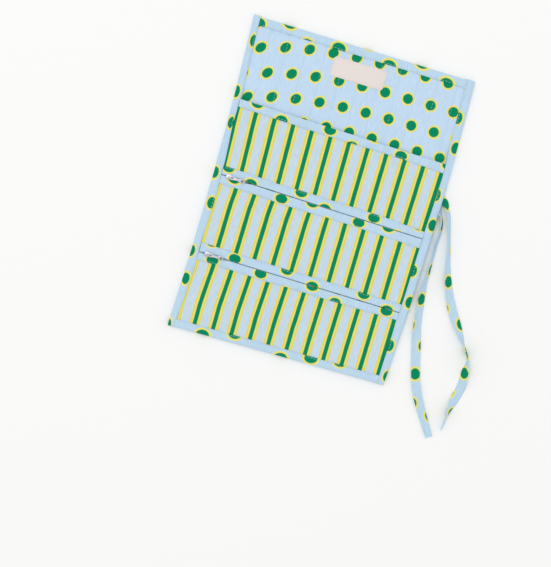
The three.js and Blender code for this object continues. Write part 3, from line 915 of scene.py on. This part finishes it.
BAND_SWELL = {
    "mouth": [(-96, -0.5), (-60, 0), (-10, 0.4), (26, 0), (60, 0), (80, 0.4), (96, 1.1)],
    "1_upper": [(-96, 0.9), (-75, 0.9), (-45, 0.2), (-8, 0.9), (50, 1.0), (62, 0.9), (78, 0.2), (96, -0.6)],
    "1_lower": [(-96, -0.3), (-60, -0.2), (-35, 0.7), (-8, 0.4), (8, -0.3), (60, 0), (96, 0.6)],
    "2_upper": [(-96, 1.3), (-77, 1.4), (-50, 0.8), (-10, 0.2), (6, 0.6), (40, 0.6), (78, 0.2), (96, 0.4)],
    "2_lower": [(-96, -0.8), (-77, -1.0), (-50, -0.4), (-28, 0.1), (-8, -0.5), (16, -0.3), (50, -0.5),
                (96, -1.0)],
}


def lip_trim(side, y):
    """How much narrower than its cut width a side binding was sewn, along the pouch."""
    return profile(y, LIP_TRIM[side])


def lip_to_lip(seam, tuck):
    """Where a strip along a seam ends, tucked under the side bindings' lips."""
    return (-band_reach - tuck - lip_trim("left", seam.at(-band_reach)),
            band_reach + tuck + lip_trim("right", seam.at(band_reach)))


print("dots on", ", ".join(trim_dots))

# %% Bands
BAND_PRINT = (1.2, 0.92)
BAND_COLS = 126
BAND_ROWS = 7
EDGE_ROUND = 0.45
SLIT_HALF = 0.42
SLIDER_OPENING = 0.75
OPENING_RISE = (-10, -5)
OPENING_FALL = (10, 18)
BAND_END_TUCK = 0.15
BAND_PLUMP = 0.13
BAND_GATHER = 0.05


def rounded(count, width):
    """Places across a band, close together at its round edges, and how full the band is at each."""
    edge = np.array([0, 0.04, 0.13, 0.28, EDGE_ROUND])
    inner = np.linspace(EDGE_ROUND, width - EDGE_ROUND, count)[1:-1]
    places = np.concatenate([edge, inner, width - edge[::-1]])
    near = np.minimum(places, width - places)
    full = np.sqrt(np.clip(1 - (1 - np.minimum(near / EDGE_ROUND, 1)) ** 2, 0.0004, 1))
    return places, full[:, None]


def band(name, key, node, body, first_edge, direction, width, opening=0):
    """A folded strip along a seam. Its folded edge follows first_edge, and parts a little round a slider."""
    places, full = rounded(BAND_ROWS, width)
    x, place = np.meshgrid(np.linspace(*lip_to_lip(first_edge, BAND_END_TUCK), BAND_COLS), places)
    from_slider = x - first_edge.x
    parted = step(from_slider, *OPENING_RISE) * (1 - step(from_slider, *OPENING_FALL))
    open_by = opening * parted * (1 - place / width)
    y = first_edge.at(x) + direction * (place * (1 + profile(x, BAND_SWELL[key]) / width) + open_by)
    plump = BAND_PLUMP * np.sin(np.pi * place / width) + 0.05 * waves(x, y * 2)
    gather = BAND_GATHER * np.sin(x / 1.2 + 2 * np.sin(x / 11)) * step(place, width * 0.55, width)
    middle, half = (band_bottom + band_top) / 2, (band_top - band_bottom) / 2
    piece = cloth(name, lie(x, y, middle + (half + plump + gather) * full), lie(x, y, middle - half * full),
                  dots=trim_dots[key], stretch=BAND_PRINT)
    length = 2 * band_reach * MM
    2 * width * MM
    length * width * MM
    dress(piece, dotted_trim, "dotted_binding", node, body=body)


for number, side, direction, width in zip_sides:
    node = f"zip_{number}_{side}_band"
    band(f"{node}_cloth", f"{number}_{side}", node, f"panel_{number}",
         zips[number].moved(direction * SLIT_HALF), direction, width - SLIT_HALF, SLIDER_OPENING)
band("pocket_1_mouth_cloth", "mouth", "pocket_1_mouth_binding", "fold_a",
     mouth.moved(MOUTH_WIDTH), -1, MOUTH_WIDTH)
print("bands with a slit of", 2 * SLIT_HALF, "mm")

# %% [markdown]
# The bindings are bias-cut strips folded round the raw edges of all the layers and stitched down. Seen
# end-on, a binding is a narrow C with round corners, so it is that outline swept along the edge. The flap
# is thinner than the pockets, so a side binding closes up as it runs onto the flap.

# %% Binding outline
BINDING_SHARP = 60


def binding_outline(width, top):
    """Outline of a binding seen end-on, as (distance in from the edge, height), and the run round it."""
    outer = [(width, top - 0.3), (width - 0.08, top - 0.1), (width - 0.35, top), (width * 0.7, top + 0.1),
             (width * 0.4, top + 0.12), (1.8, top), (0.8, top - 0.3), (0.2, top - 0.95), (0, top * 0.5),
             (0.15, 0.85), (0.7, 0.25), (1.7, 0.06), (width * 0.5, 0.03), (width - 0.3, 0.05), (width, 0.25)]
    inner = [(width - 0.1, 0.5), (width * 0.5, 0.52), (2.2, 0.55), (1.2, 0.8), (0.85, 1.3), (0.72, top * 0.5),
             (0.9, top - 1.2), (1.4, top - 0.8), (2.4, top - 0.6), (width * 0.6, top - 0.52),
             (width - 0.1, top - 0.55)]
    outline = np.array(outer + inner)
    run = np.append(0, np.cumsum(np.linalg.norm(np.diff(outline, axis=0), axis=1)))
    run[len(outer):] = run[len(outer) - 1] - (run[len(outer):] - run[len(outer)])
    return *outline.T, run


def swept(name, rings, flat, **printing):
    """A piece from the rings of a swept outline, with one face to close each end."""
    count, sides = np.shape(rings)[:2]
    index = np.arange(count * sides).reshape(count, sides)
    following = np.roll(index, -1, 1)
    quads = np.stack([index[:-1], following[:-1], following[1:], index[1:]], -1).reshape(-1, 4)
    faces = [*quads.tolist(), index[0][::-1].tolist(), index[-1].tolist()]
    return sewn_piece(name, np.array(rings), faces, BINDING_SHARP, np.array(flat), **printing)


# %% Side bindings
SIDE_PRINT = (0.88, 1.18)
SIDE_SPACING = 2.2
END_DRAW = 0.9
LEAST_OPEN = 0.003
LIP_RISE = (72.0, 84.0)
LIP_FROM = 2.5
UNDERSIDE_TO = 1.5
END_CLOSING = 1.5


def side_top(y):
    """Height of a side binding: low on the flap, high over the pockets."""
    return flap_lip_top + (lip_top - flap_lip_top) * (1 - step(y, *LIP_RISE))


def end_openness(y):
    """1 along a side binding, falling round to almost 0 at its two ends, where it is sewn closed."""
    near = np.clip(min(top_edge - y, y - bottom_edge) / END_CLOSING, 0, 1)
    return math.sqrt(max(1 - (1 - near) ** 2, LEAST_OPEN))


def binding_rows(stretch):
    """Rows of a side binding, close together where an end rounds off."""
    near = END_CLOSING * np.array([0.03, 0.12, 0.3, 0.6, 1])
    extra = np.append(top_edge - near, bottom_edge + near)
    extra = extra[(extra < stretch.high) & (extra > stretch.low)]
    return np.sort(np.append(stretch.rows(SIDE_SPACING), extra))[::-1]


def side_binding(side, sign, stretch):
    rings, flats = [], []
    for y in binding_rows(stretch):
        depth, height, run = binding_outline(binding_width, side_top(y))
        openness = end_openness(y)
        x = sign * (half_width - depth - END_DRAW * (1 - openness) * (1 - depth / binding_width))
        height = height + np.where(height > LIP_FROM, 0.1 * waves(sign * 40 + depth * 1.5, y * 3), 0)
        lifted = over_tie(100.0, y) if side == "right" else 0
        height = np.where(height < UNDERSIDE_TO, height * (1 - 0.3 * lifted) + 1.2 * lifted, height)
        middle = 0.4 * side_top(y)
        height = middle + (height - middle) * openness
        waver = 0.12 * waves(70 * sign, y * 2.2) + lip_trim(side, y)
        rings.append(lie(x + sign * waver * step(depth, 2.5, binding_width), y, height))
        inner_edge = half_width - binding_width + waver
        flats.append(np.stack([sign * (inner_edge + run) + bow(y), np.full_like(run, y)], -1))
    piece = swept(f"binding_{side}_{stretch.name}", rings, flats, dots=trim_dots[side], stretch=SIDE_PRINT)
    dress(piece, dotted_trim, "dotted_binding", *stretch.nodes(f"binding_{side}"))
    trimmed = float(np.mean(lip_trim(side, np.linspace(stretch.low, stretch.high, 20))))
    stretch.bend(piece)


SIDES = (("left", -1), ("right", 1))
for stretch in stretches:
    for side, sign in SIDES:
        side_binding(side, sign, stretch)
print("side lips", round(flap_lip_top, 2), "to", round(lip_top, 2), "mm high")

# %% Bindings of the flap's edge and the bottom edge
END_PRINT = (1.36, 1.08)
END_INSET = 0.8
END_COLS = 88
END_TUCK = 0.3
END_NARROWER = 0.4
end_width = binding_width - END_NARROWER


def end_binding(key, edge, inward, top, body):
    """A strip between the side bindings' lips."""
    start, end = lip_to_lip(level(edge), END_TUCK)
    depth, height, run = binding_outline(end_width, top)
    rings, flats = [], []
    for x in np.linspace(start, end, END_COLS):
        scatter = np.where(height > 2, 0.1 * waves(x * 3, 50 + depth * 1.5), 0)
        waver = 0.15 * waves(x * 2.2, 70) * step(depth, 4, binding_width)
        rings.append(lie(x, edge + inward * (depth - waver), height + scatter))
        flats.append(np.stack([np.full_like(run, x), edge + inward * (end_width - run)], -1))
    piece = swept(f"binding_{key}", rings, flats, dots=trim_dots[key], stretch=END_PRINT)
    (end - start) * MM
    dress(piece, dotted_trim, "dotted_binding", f"{body}_binding_{key}", body=body)
    print(piece.name, "from", round(start, 1), "to", round(end, 1))


end_binding("top", top_edge - END_INSET, -1, flap_lip_top, "flap")
end_binding("bottom", bottom_edge + END_INSET / 2, 1, lip_top, "panel_3")

# %% [markdown]
# Under the bands each zip is two woven tapes with a nylon coil along the facing edges. The coil is a
# helix pressed flat, so Geometry Nodes make it from a spiral whose turns, length, width and height are
# named inputs. Little of it shows through the slit, but it shows when the slider is away.

# %% Geometry Nodes helpers


class Nodes:
    """A geometry node tree with named inputs."""

    def __init__(self, name, **sizes):
        self.tree = bpy.data.node_groups.new(name, "GeometryNodeTree")
        self.socket("Geometry", "NodeSocketGeometry")
        for label, value in sizes.items():
            self.socket(label, "NodeSocketFloat").default_value = value
        self.socket("Material", "NodeSocketMaterial")
        self.socket("Result", "NodeSocketGeometry", "OUTPUT")
        self.given = self.tree.nodes.new("NodeGroupInput")

    def socket(self, name, kind, in_out="INPUT"):
        return self.tree.interface.new_socket(name=name, in_out=in_out, socket_type=kind)

    def input(self, name):
        return self.given.outputs[name]

    def add(self, kind, settings=None, *inputs, **named):
        return add_node(self.tree, kind, settings or {}, *inputs, **named).outputs[0]

    def end(self, geometry):
        real = self.add("GeometryNodeRealizeInstances", Geometry=geometry)
        smooth = self.add("GeometryNodeSetShadeSmooth", Geometry=real)
        painted = self.add("GeometryNodeSetMaterial", Geometry=smooth, Material=self.input("Material"))
        add_node(self.tree, "NodeGroupOutput", {}, painted)
        return self.tree


def evaluated(holder):
    """The finished mesh of an object that was only needed to make it."""
    graph = bpy.context.evaluated_depsgraph_get()
    mesh = bpy.data.meshes.new_from_object(holder.evaluated_get(graph), depsgraph=graph)
    bpy.data.objects.remove(holder)
    return mesh


def grown(name, tree, source, material, **sizes):
    """Runs a tree on a source mesh and returns its result as a plain mesh object."""
    holder = link(source, name + "_source")
    modifier = holder.modifiers.new("grow", "NODES")
    modifier.node_group = tree
    sockets = {item.name: item.identifier for item in tree.interface.items_tree}
    modifier[sockets["Material"]] = material
    for label, value in sizes.items():
        modifier[sockets[label]] = float(value)
    mesh = evaluated(holder)
    mesh.name = name
    return link(mesh, name)


def points_of(mesh):
    """A mesh's points in millimetres."""
    points = np.empty(len(mesh.vertices) * 3)
    mesh.vertices.foreach_get("co", points)
    return points.reshape(-1, 3) / MM


def move_points(mesh, points):
    mesh.vertices.foreach_set("co", (points * MM).ravel())
    mesh.update()


# %% Coil tree
def coil_tree():
    nodes = Nodes("zip_coil", Turns=150.0, Length=0.18, Width=0.0015, Height=0.0009, Wire=0.00035)
    spiral = nodes.add("GeometryNodeCurveSpiral", Resolution=10, Rotations=nodes.input("Turns"),
                       Start_Radius=0.5, End_Radius=0.5, Height=nodes.input("Length"))
    size = nodes.add("ShaderNodeCombineXYZ", X=nodes.input("Height"), Y=nodes.input("Width"), Z=1.0)
    flat = nodes.add("GeometryNodeTransform", Geometry=spiral, Scale=size)
    laid = nodes.add("GeometryNodeTransform", Geometry=flat, Rotation=(0, math.pi / 2, 0))
    radius = nodes.add("ShaderNodeMath", {"operation": "MULTIPLY"}, nodes.input("Wire"), 0.5)
    outline = nodes.add("GeometryNodeCurvePrimitiveCircle", Resolution=5, Radius=radius)
    return nodes.end(nodes.add("GeometryNodeCurveToMesh", Curve=laid, Profile_Curve=outline))


coil = coil_tree()


def zip_frame(seam):
    """Directions along and across a zip."""
    along = np.array([1, seam.slope, 0]) / math.hypot(1, seam.slope)
    return along, np.array([-along[1], along[0], 0])


def place_on_zip(mesh, seam, start=0, across=0, height=0):
    """Moves a mesh made along X to its place on a zip, in millimetres from the slider's rest place."""
    along, sideways = zip_frame(seam)
    x, y, z = points_of(mesh).T
    places = np.array([seam.x, seam.y, height]) + np.outer(x + start, along) + np.outer(y + across, sideways)
    places[:, 2] += z
    move_points(mesh, places)


# %% Tapes and coils
COIL_PITCH = 1.25
COIL_WIDTH = 1.5
COIL_HEIGHT = 0.9
COIL_WIRE = 0.32
COIL_SIDE = 1.35
COIL_LEVEL = 4.45
TAPE_START = 0.62
TAPE_REACH = 6.5
TAPE_THICK = 0.2
ZIP_INSET = 0.8
ZIP_LENGTH = 2 * (band_reach - ZIP_INSET)
tape_low = box_mm("zip_1_upper_tape")[0][2]


def tape(name, node, body, seam, start, direction):
    along, sideways = zip_frame(seam)
    places = [TAPE_START, 0.7, 1.2, 2.4, 4, TAPE_REACH - 0.1, TAPE_REACH]
    run, place = np.meshgrid(np.linspace(0, ZIP_LENGTH, 60), places)
    origin = np.array([seam.x, seam.y, tape_low]) + along * start
    lower = origin + run[..., None] * along + direction * place[..., None] * sideways
    piece = cloth(name, lower + (0, 0, TAPE_THICK), lower, np.stack([run, place], -1))
    dress(piece, zip_tape, "zip_tape", node, body=body)


def coil_half(name, body, seam, start, direction):
    piece = grown(name, coil, bpy.data.meshes.new("coil_source"), zip_coil, Turns=ZIP_LENGTH / COIL_PITCH,
                  Length=ZIP_LENGTH * MM, Width=COIL_WIDTH * MM, Height=COIL_HEIGHT * MM, Wire=COIL_WIRE * MM)
    place_on_zip(piece.data, seam, start + direction * COIL_PITCH / 4, direction * COIL_SIDE, COIL_LEVEL)
    dress(piece, None, "zip_tape", body=body)
    print(name, "faces", len(piece.data.polygons))


for number, side, direction, _ in zip_sides:
    seam, body = zips[number], f"panel_{number}"
    start = -ZIP_LENGTH / 2 - seam.x + bow(seam.y)
    tape(f"zip_{number}_{side}_tape_cloth", f"zip_{number}_{side}_tape", body, seam, start, direction)
    coil_half(f"zip_{number}_{side}_coil", body, seam, start, direction)

# %% [markdown]
# The slider is two small plates joined by a neck, with a bridge on top that holds the pull. Die-cast parts
# have no sharp edges, so each plate is a flat outline given its thickness with a round bevel. The outlines
# narrow towards the closed end of the zip. The pull hangs on its pin by a small loop and ends in a hole.

# %% Flat metal outlines
METAL_SHARP = 35
WELD = 1e-7


def arc(cx, cy, radius, start, end, count=8):
    angles = np.radians(np.linspace(start, end, count))
    return [(cx + radius * math.cos(a), cy + radius * math.sin(a)) for a in angles]


def mirrored(half):
    """A closed outline from its half with positive y."""
    return [(x, -y) for x, y in half] + half[::-1]


def plate(name, outlines, thickness, bevel):
    """A flat metal part from closed outlines, the first its edge and the others its holes."""
    curve = bpy.data.curves.new(name, "CURVE")
    curve.dimensions = "2D"
    curve.fill_mode = "BOTH"
    curve.extrude = (thickness / 2 - bevel) * MM
    curve.bevel_depth = bevel * MM
    curve.bevel_resolution = 2
    curve.offset = -bevel * MM
    for outline in outlines:
        spline = curve.splines.new("POLY")
        spline.points.add(len(outline) - 1)
        spline.use_cyclic_u = True
        for point, (x, y) in zip(spline.points, outline):
            point.co = (x * MM, y * MM, 0, 1)
    mesh = evaluated(link(curve, name))
    bpy.data.curves.remove(curve)
    return mesh


def bar(name, outline, width, bevel):
    """An outline drawn in the XZ plane, given its width along Y."""
    mesh = plate(name, [outline], width, bevel)
    x, y, z = points_of(mesh).T
    move_points(mesh, np.stack([x, -z, y], -1))
    return mesh


def raised(mesh, height):
    move_points(mesh, points_of(mesh) + (0, 0, height))
    return mesh


def joined(name, meshes):
    """One mesh from several, welded at their seams."""
    solid = bmesh.new()
    for mesh in meshes:
        solid.from_mesh(mesh)
        bpy.data.meshes.remove(mesh)
    bmesh.ops.remove_doubles(solid, verts=solid.verts, dist=WELD)
    mesh = bpy.data.meshes.new(name)
    solid.to_mesh(mesh)
    solid.free()
    close(mesh, METAL_SHARP)
    return mesh


# %% Slider and pull
PLATE_TOP = 6.4
UPPER_PLATE = 0.6
LOWER_PLATE = 0.4
slider_low = box_mm("zip_1_slider")[0][2]
pin_level = joints["zip_1_pull_hinge"]["pos_m"][2] / MM


def slider_mesh(name):
    """Two plates with shoulders at the open end, a waist and a narrow closed end, a neck and a bridge."""
    outline = mirrored([(-4.5, 0.5), (-4.4, 1.3), (-3.9, 1.95), (-3.1, 2.2), (-2, 2.25), (-0.5, 2.05),
                        (1.2, 1.75), (3, 1.6), (4, 1.45), (4.4, 1.0), (4.5, 0.4)])
    upper = raised(plate(name, [outline], UPPER_PLATE, 0.16), PLATE_TOP - UPPER_PLATE / 2)
    lower = raised(plate(name, [outline], LOWER_PLATE, 0.1), slider_low + LOWER_PLATE / 2)
    neck = [(-1.5, slider_low + 0.2), (1.5, slider_low + 0.2), (1.5, PLATE_TOP - 0.2),
            (-1.5, PLATE_TOP - 0.2)]
    pin = pin_level - PLATE_TOP
    arch = [(-1.9, -0.1), (-1.8, 0.4), (-1.5, 0.9), (-1.0, 1.32), (-0.4, 1.56), (0.3, 1.56), (0.9, 1.32),
            (1.4, 0.9), (1.7, 0.4), (1.8, -0.1), (1.2, -0.1), (0.95, 0.5), (0.5, pin + 0.42),
            (0, pin + 0.47), (-0.5, pin + 0.42), (-0.85, 0.5), (-1.1, -0.1)]
    return joined(name, [upper, lower, bar(name, neck, 0.6, 0.1),
                         raised(bar(name, arch, 1.1, 0.12), PLATE_TOP)])


def pull_mesh(name):
    """Its pin is at the origin and it lies towards +X: pin, loop and tab."""
    tab = mirrored([(-0.3, 1.7), (2.4, 1.7), (3.1, 1.45), (4.4, 1.1), (6.5, 1.05), (8.6, 1.3), (9.4, 1.62),
                    (12.6, 1.62), *arc(12.4, 0.7, 0.92, 60, 0, 4)])
    window = [(2.6, -0.85), (2.95, -0.5), (2.95, 0.5), (2.6, 0.85), (0.45, 0.85), (0.45, -0.85)]
    hole = mirrored([(10.1, 0.8), (10.3, 0.95), (12.0, 0.95), (12.2, 0.8)])[::-1]
    return joined(name, [plate(name, [tab, window, hole], 0.6, 0.14)])


for number, seam in zips.items():
    for name, node, make, height in [
        (f"zip_{number}_slider_body", f"zip_{number}_slider", slider_mesh, 0),
        (f"zip_{number}_pull_tab", f"zip_{number}_pull", pull_mesh, pin_level),
    ]:
        piece = link(make(name), name)
        place_on_zip(piece.data, seam, height=height)
        dress(piece, zip_metal, "zip_metal", node, body=node)
        print(name, "faces", len(piece.data.polygons))

# %% [markdown]
# The label is a small woven piece with round corners, sewn on round its border. It is left blank. The
# folded middle of the tie lies flat under panel 1, where its stitches can't be seen.

# %% Label and the tie's middle
LABEL_SIZE = np.array([49.0, 17.5])
LABEL_CORNER = 2.4
LABEL_THICK = 0.32
LABEL_TURN = math.radians(-0.8)
label_low, label_high = box_mm("label")
label_middle = (label_low + label_high) / 2


def on_label(points):
    """Turns points drawn about the label's middle and moves them to its place."""
    x, y, z = points.T
    turned = [x * math.cos(LABEL_TURN) - y * math.sin(LABEL_TURN),
              x * math.sin(LABEL_TURN) + y * math.cos(LABEL_TURN), z]
    return np.stack(turned, -1) + label_middle


def label_mesh():
    x, y = LABEL_SIZE / 2 - LABEL_CORNER
    outline = []
    for quarter, (right, up) in enumerate([(1, -1), (1, 1), (-1, 1), (-1, -1)]):
        outline += arc(right * x, up * y, LABEL_CORNER, 90 * quarter - 90, 90 * quarter)
    return joined("label_cloth", [plate("label_cloth", [outline], LABEL_THICK, 0.1)])


label_piece = link(label_mesh(), "label_cloth")
points = points_of(label_piece.data)
map_cloth(label_piece.data, points[:, :2].copy())
move_points(label_piece.data, on_label(points))
dress(label_piece, label_weave, "label_cloth", "label", body="flap")

(x_low, y_low, z_low), (x_high, y_high, z_high) = box_mm("tie_middle")
x, y = np.meshgrid(np.linspace(x_low, x_high, 10), np.linspace(y_high, y_low, 14))
upper = np.stack([x, y, z_high - 0.05 + 0.04 * waves(x * 2, y * 2)], -1)
tie_middle = cloth("tie_middle_cloth", upper, np.stack([x, y, np.full_like(x, z_low)], -1))
dress(tie_middle, dotted_tie, "tie_cloth", "tie_middle", body="panel_1")
print("label at", label_middle.round(2))

# %% [markdown]
# Stitches repeat along every seam, so Geometry Nodes sew them. The source is a bare line of points that
# lies on the cloth. The tree spaces points along it by the stitch length and puts one small thread bead on
# each, turned along the seam. Where a seam crosses a fold, its stitches are made stretch by stretch, like the
# cloth.

# %% Stitch tree


def stitch_tree():
    nodes = Nodes("sewn_line", Pitch=0.003, Length=0.0022, Width=0.0004, Height=0.00025)
    line = nodes.add("GeometryNodeMeshToCurve", Mesh=nodes.input("Geometry"))
    spaced = nodes.add("GeometryNodeResampleCurve", {"mode": "LENGTH"}, Curve=line,
                       Length=nodes.input("Pitch"))
    bead = nodes.add("GeometryNodeMeshUVSphere", Segments=8, Rings=5, Radius=0.5)
    size = nodes.add("ShaderNodeCombineXYZ", X=nodes.input("Length"), Y=nodes.input("Width"),
                     Z=nodes.input("Height"))
    thread = nodes.add("GeometryNodeTransform", Geometry=bead, Scale=size)
    tangent = nodes.add("GeometryNodeInputTangent")
    turn = nodes.add("FunctionNodeAlignRotationToVector", {"axis": "X", "pivot_axis": "Z"}, Vector=tangent)
    return nodes.end(nodes.add("GeometryNodeInstanceOnPoints", Points=spaced, Instance=thread, Rotation=turn))


sewn_line = stitch_tree()


def sew(name, lines, thread=blue_thread, body=None, pitch=3.0, length=2.2, width=0.36, height=0.24):
    """Sews along lines of points, all in millimetres."""
    ends = set(np.cumsum([len(line) for line in lines]).tolist())
    edges = [(k - 1, k) for k in range(1, max(ends)) if k not in ends]
    source = bpy.data.meshes.new(name)
    source.from_pydata((np.concatenate(lines) * MM).tolist(), edges, [])
    piece = grown(name, sewn_line, source, thread, Pitch=pitch * MM, Length=length * MM, Width=width * MM,
                  Height=height * MM)
    print(name, "faces", len(piece.data.polygons))
    return dress(piece, None, "dotted_binding", body=body)


# %% Stitches of the side bindings and the quilting
STITCH_INSET = 1.1
STITCH_ROOM = 1.5
POINT_SPACING = 1.5
END_CLEAR = 2
PUFFED_FLAP = 72
SIDE_LIFT = 0.04
QUILT_LIFT = 0.02


def stitch_rows(stretch, inset):
    """Places along a stretch, clear of its cuts and of the pouch's two ends."""
    high = min(top_edge - inset, stretch.high - STITCH_ROOM)
    low = max(bottom_edge + inset, stretch.low + STITCH_ROOM)
    return np.linspace(high, low, max(2, round((high - low) / POINT_SPACING)))


def side_stitches(stretch):
    ys = stitch_rows(stretch, END_CLEAR)
    lines = []
    for side, sign in SIDES:
        x = sign * (half_width - binding_width + STITCH_INSET + lip_trim(side, ys))
        across = sign * 40 + (binding_width - STITCH_INSET) * 1.5
        lines.append(lie(x, ys, side_top(ys) + SIDE_LIFT + 0.1 * waves(across, ys * 3)))
    return lines


def quilt_stitches(stretch):
    ys = stitch_rows(stretch, binding_width)
    flap = ys[ys > PUFFED_FLAP]
    lines = []
    for x in quilt_lines[np.abs(quilt_lines) < half_width - binding_width - END_CLEAR]:
        lines.append(lie(x, ys, outer_lower(x, ys) - QUILT_LIFT))
        if len(flap):
            lines.append(lie(x, flap, lining_upper(x, flap) + QUILT_LIFT))
    return lines


for stretch in stretches:
    stretch.bend(sew(f"binding_stitches_{stretch.name}", side_stitches(stretch)))
    stretch.bend(sew(f"quilting_stitches_{stretch.name}", quilt_stitches(stretch), width=0.3, height=0.16))

# %% Stitches of the bands, the end bindings and the label
LINE_INSET = 2.0
LINE_POINTS = 120
BAND_LIFT = 0.07
LIP_LIFT = 0.06
LABEL_LIFT = 0.04
TOP_INSET = 0.7


def seam_line(seam, height, key=None, direction=-1):
    """A line of points along a slanted seam. Beside a band it follows the band's swell."""
    x = np.linspace(-band_reach + LINE_INSET, band_reach - LINE_INSET, LINE_POINTS)
    swell = direction * profile(x, BAND_SWELL[key]) if key else 0
    return lie(x, seam.at(x) + swell, height)


for number, seam in zips.items():
    lines = [seam_line(seam.moved(direction * (width - STITCH_INSET)), band_top + BAND_LIFT,
                       f"{number}_{side}", direction)
             for owner, side, direction, width in zip_sides if owner == number]
    sew(f"zip_{number}_band_stitches", lines, body=f"panel_{number}")

sew("mouth_stitches", [seam_line(mouth.moved(STITCH_INSET), band_top + BAND_LIFT, "mouth")], body="fold_a")
top_line = level(top_edge - binding_width + TOP_INSET)
sew("top_stitches", [seam_line(top_line, flap_lip_top + LIP_LIFT)], body="flap")
bottom_line = level(bottom_edge + binding_width - STITCH_INSET)
sew("bottom_stitches", [seam_line(bottom_line, lip_top + LIP_LIFT)], body="panel_3")

corner = np.array([*(LABEL_SIZE / 2 - STITCH_INSET), label_high[2] + LABEL_LIFT - label_middle[2]])
corners = [corner * (*signs, 1) for signs in ((-1, -1), (1, -1), (1, 1), (-1, 1), (-1, -1))]
shares = np.linspace(0.02, 0.98, 20)[:, None]
border = [on_label(start + (end - start) * shares) for start, end in zip(corners, corners[1:])]
sew("label_stitches", border, label_thread, "flap", pitch=1.6, length=1.2, width=0.26, height=0.18)
